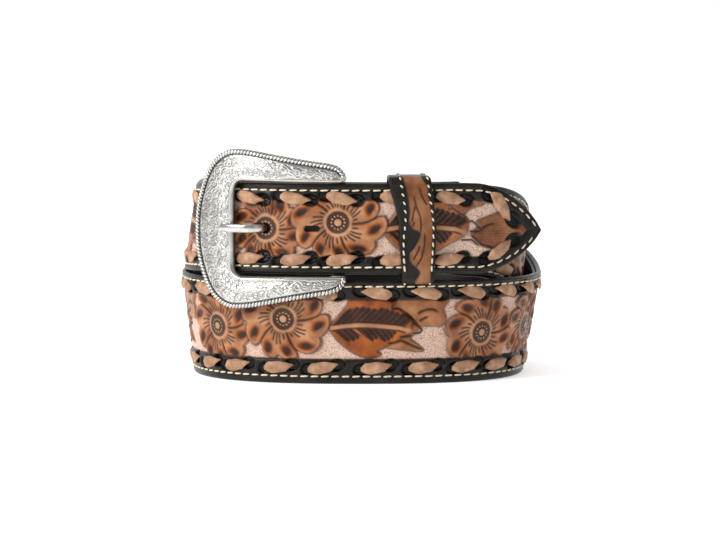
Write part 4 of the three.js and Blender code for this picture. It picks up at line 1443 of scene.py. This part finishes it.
def engraving(length_along, width):
    """Scrolls and flowing strokes as distance along the frame and across it."""
    lines = []
    run, hand, total = 2.0, 1, length_along[-1]
    while run < total - 2:
        wide = float(np.interp(run, length_along, width))
        rows = max(1, round(wide / 4.6))
        cell = wide / rows
        radius = min(2.4, cell * 0.4)
        for row in range(rows):
            side = hand * (1 if row % 2 == 0 else -1)
            cx = run + (0.5 * radius if row % 2 else 0)
            cy = (row + 0.5) * cell - wide / 2 + side * 0.06 * cell
            lines.append(scroll(cx, cy, radius, 1.6, -side * math.pi / 2, side))
            q = np.linspace(0, 1, 10)
            for k in range(4):
                a = side * (-1.2 + 0.75 * k)
                x0, y0 = cx + radius * 1.1 * math.cos(a), cy + radius * 1.1 * math.sin(a)
                lines.append(np.stack([x0 + q * radius * 1.1,
                                       y0 + side * radius * 0.4 * np.sin(q * 2.6 + k)], -1))
        run += radius * 2.5
        hand = -hand
    return lines


def nearest_line(x, y, lines):
    best = np.full(x.shape, 9.0)
    for line in lines:
        low, high = line.min(0) - 1.2, line.max(0) + 1.2
        near = (x > low[0]) & (x < high[0]) & (y > low[1]) & (y < high[1])
        if near.any():
            distance, _ = path_distance(x[near], y[near], line)
            best[near] = np.minimum(best[near], distance)
    return best


def frame_piece(material):
    rim, window = frame_lines()
    width = np.hypot(*(window - rim).T)
    bead = np.minimum(1, width * 0.42 / BEAD) * BEAD
    middle = (rim + window) / 2
    run = np.concatenate([[0], np.cumsum(np.hypot(*np.diff(middle, axis=0).T))])
    plate = np.linspace(0, 1, 44)
    shares, heights = [], []
    for inward, out in ((0, FRAME_BACK), (0, FRAME_TOP - 2.2), (0.16, FRAME_TOP - 1.5),
                        (0.5, FRAME_TOP - 1.15), (0.84, FRAME_TOP - 1.4)):
        shares.append(inward * bead / width)
        heights.append(np.full(len(run), out))
    start, end = (bead + 0.15) / width, 1 - BEVEL * 0.8 / width
    for q in plate:
        shares.append(start + (end - start) * q)
        heights.append(FRAME_TOP - 1.0 + 0.55 * math.sin(math.pi * min(1, q * 1.1 + 0.06)) ** 0.8
                       * np.ones(len(run)))
    edge = 1 - end
    for q, drop in ((0.16, 0.66), (0.4, 0.82), (0.62, 1.1), (0.82, 1.5), (0.94, 1.95), (1.0, 2.5)):
        shares.append(end + edge * q)
        heights.append(np.full(len(run), FRAME_TOP - drop))
    shares.append(np.ones(len(run)))
    heights.append(np.full(len(run), FRAME_BACK))
    shares, heights = np.array(shares).T, np.array(heights).T
    along = np.broadcast_to(run[:, None], shares.shape)
    across = (shares - (start + end)[:, None] / 2) * width[:, None]
    lines = engraving(run, (end - start) * width)
    distance = nearest_line(along, across, lines)
    on_plate = np.zeros(shares.shape)
    on_plate[:, 6:6 + len(plate) - 2] = 1
    cuts = ridge(distance, 0.2) * on_plate
    heights = heights - 0.16 * cuts + 0.07 * ridge(distance - 0.55, 0.3) * on_plate
    points = rim[:, None, :] + (window - rim)[:, None, :] * shares[:, :, None]
    rings = on_buckle(points[:, :, 0], points[:, :, 1], heights)
    # Tarnish in the engraved cuts and under the rope edge.
    tarnish_and_shade = 0.6 * cuts
    tarnish_and_shade[:, 1:5] = 0.85
    tarnish_and_shade[:, 5] = 0.7
    # Painted shade: the window's inner bevel and wall are darkened to stand for the shadow under the
    # frame's inner edge.
    tarnish_and_shade[:, -4:] = (0.25, 0.7, 0.9, 0.9)
    body = skin("frame_ring", rings, {"tarnish_and_shade": tarnish_and_shade})
    parts = [body] + hinge_parts()
    mesh = joined_mesh("frame_silver", parts)
    return add_piece("frame_silver", mesh, material, ["buckle_frame"])


LUG_LENGTH = 8
LUG_HEIGHT = STACK_GAP - CLEAR - 0.3


def soft_block(name, s0, s1, out0, out1, z0, z1, soft=0.4):
    rings = []
    for z, inset in ((z0, soft), (z0 + soft, 0), (z1 - soft, 0), (z1, soft)):
        a, b, c, d = s0 + inset, s1 - inset, out0 + inset, out1 - inset
        corners = [(a, c), (b, c), (b, d), (a, d)]
        rings.append([place(s, out, z) for s, out in corners])
    rings = np.array(rings)
    return skin(name, rings, {"tarnish_and_shade": np.full(rings.shape[:2], 0.25)})


def hinge_parts():
    clear = BILLET_WIDTH / 2 + CLEAR
    s0, s1 = BAR_S - LUG_LENGTH / 2, BAR_S + BAR_RADIUS + 0.3
    low, high = BILLET_HEIGHT - clear, BILLET_HEIGHT + clear
    back = BAR_OFFSET - BAR_RADIUS - 0.4
    a = np.arange(28) * 2 * np.pi / 28
    rings = np.array([place(BAR_S + BAR_RADIUS * np.cos(a), BAR_OFFSET + BAR_RADIUS * np.sin(a), z)
                      for z in (low - 1, high + 1)])
    bar = skin("hinge_bar", rings, {"tarnish_and_shade": np.full(rings.shape[:2], 0.2)})
    return [soft_block("lug_low", s0, s1, back, FRAME_BACK + 1, low - LUG_HEIGHT, low),
            soft_block("lug_high", s0, s1, back, FRAME_BACK + 1, high, high + LUG_HEIGHT + 1),
            bar]


ROPE_PITCH = 1.55


def rope_pattern():
    """One strand of the rope edge, a plump bean."""
    rings = []
    for x in (-1, -0.86, -0.55, 0, 0.55, 0.86, 1):
        size = math.sqrt(max(0.03, 1 - abs(x) ** 2.4))
        a = np.arange(9) * 2 * np.pi / 9
        rings.append(np.stack([np.full(9, x * 1.42), np.cos(a) * 0.7 * size,
                               np.sin(a) * 0.85 * size - 0.35 * x * x], -1))
    return skin("rope_pattern", np.array(rings), {"tarnish_and_shade": np.zeros((7, 9))})


def rope_piece(material):
    """The rope edge, from the tip of the lower arm round the left to that of the upper one."""
    rim, window = frame_lines()
    way = window - rim
    width = np.hypot(*way.T)
    way /= width[:, None]
    line = rim + way * np.minimum(BEAD * 0.46, width * 0.5)[:, None]
    points = on_buckle(line[:, 0], line[:, 1], FRAME_TOP - 0.95)
    out = on_buckle(line[:, 0], line[:, 1], FRAME_TOP) - points
    wanted, run = evenly(points, ROPE_PITCH, 0.6)
    here = read_line(wanted, run, points)
    ahead = read_line(wanted + 0.4, run, points)
    behind = read_line(wanted - 0.4, run, points)
    facing = read_line(wanted, run, out)
    mesh = row_mesh("rope_edge", here, ahead - behind, facing, rope_pattern(), material,
                    skew=math.radians(50), seed=2)
    return add_piece("rope_edge", mesh, material, ["buckle_frame"])


TONGUE_WIDTH = 3.6
TONGUE_THICK = 2
TONGUE_TIP_X = -60


def flat_bar(s, out, ds, dout, width, thick, sides=14):
    length = np.hypot(ds, dout)
    ns, no = -dout / length, ds / length
    a = np.arange(sides) * 2 * np.pi / sides
    c, d = np.cos(a), np.sin(a)
    z = np.sign(c) * np.abs(c) ** 0.6 * width / 2
    h = np.sign(d) * np.abs(d) ** 0.7 * thick / 2
    return place(s + ns * h, out + no * h, BILLET_HEIGHT + z)

# Plated metal, bright where it is polished, dark where it is engraved, and dark where shade is
# painted on it.

def tongue_piece(material):
    r = BAR_RADIUS + 0.3 + TONGUE_THICK / 2
    loop = np.array([flat_bar(BAR_S + r * math.sin(a), BAR_OFFSET + r * math.cos(a),
                              math.cos(a), -math.sin(a), TONGUE_WIDTH, TONGUE_THICK)
                     for a in np.arange(32) * 2 * np.pi / 32])
    front = BAR_OFFSET + BAR_RADIUS + 0.3 + TONGUE_THICK / 2
    rest, hole = FRAME_TOP + 0.35 + TONGUE_THICK / 2, LAST_HOLE - TONGUE_HOLE * HOLE_PITCH
    tip, face = float(distance_at(TONGUE_TIP_X, rest)), STRAP_THICK / 2
    path = finer(np.array([
        (BAR_S - 1, front), ((BAR_S + hole) / 2, front), (hole + 10, front),
        (hole + 4.8, front + 0.05), (hole + 2.4, -face - 0.4), (hole + 1.6, face * 0.3),
        (hole + 0.8, face + 1.5), (hole - 1.2, rest - 1.5), (hole - 4.6, rest),
        ((tip + hole - 4.6) / 2, rest + 0.1), (tip, rest - 0.15)]), 9)
    run = np.gradient(path, axis=0)
    near = np.clip((path[:, 0] - tip) / 1.8, 0, 1)
    full = np.sqrt(np.maximum(0.06, 1 - (1 - near) ** 2))
    shank = np.array([flat_bar(p[0], p[1], -d[0], -d[1], TONGUE_WIDTH * f,
                               TONGUE_THICK * (0.6 + 0.4 * f))
                      for p, d, f in zip(path, run, full)])
    parts = [skin("tongue_loop", loop, {"tarnish_and_shade": np.full(loop.shape[:2], 0.15)}, loop=True),
             skin("tongue_shank", shank, {"tarnish_and_shade": np.zeros(shank.shape[:2])})]
    mesh = joined_mesh("tongue_silver", parts)
    return add_piece("tongue_silver", mesh, material, ["buckle_tongue"])


# Making

def make_floor():
    half, back, rise, bend = 6.0, 1.6, 3.0, 0.8
    profile = [(-half, 0.0)] + [(back + bend * math.sin(a), bend - bend * math.cos(a))
                               for a in np.linspace(0, math.pi / 2, 16)] + [(back + bend, rise)]
    points = [(x, y, z) for y, z in profile for x in (-half, half)]
    faces = [(2 * i, 2 * i + 1, 2 * i + 3, 2 * i + 2) for i in range(len(profile) - 1)]
    mesh = bpy.data.meshes.new("pale_floor")
    mesh.from_pydata(points, [], faces)
    mesh.shade_smooth()
    mesh.materials.append(pale_floor())
    floor = bpy.data.objects.new("pale_floor", mesh)
    bpy.context.scene.collection.objects.link(floor)


make_studio()
make_floor()

carved = carved_leather()
black = black_leather()
lace = lace_leather()
thread = waxed_thread()
silver = antique_silver()

strap_piece("band_front", BAND_START, BAND_END, FRONT_STEP, carved)
strap_piece("billet", BILLET_START, TIP_TURN, FRONT_STEP, carved)
strap_piece("inner_turn", BAR_S / TURN, BAND_START, BACK_STEP, carved)
strap_piece("band_back", BAND_END, BILLET_START, BACK_STEP, carved)
fold_piece(black)
lining_piece(black)
lace_piece(lace)
strap_stitches(thread)
keeper_piece(carved)
keeper_stitches(thread)
frame_piece(silver)
rope_piece(silver)
tongue_piece(silver)
for node in ("fold_post_near", "fold_post_far"):
    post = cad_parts[node]
    post.data.materials.clear()
    post.data.materials.append(silver)
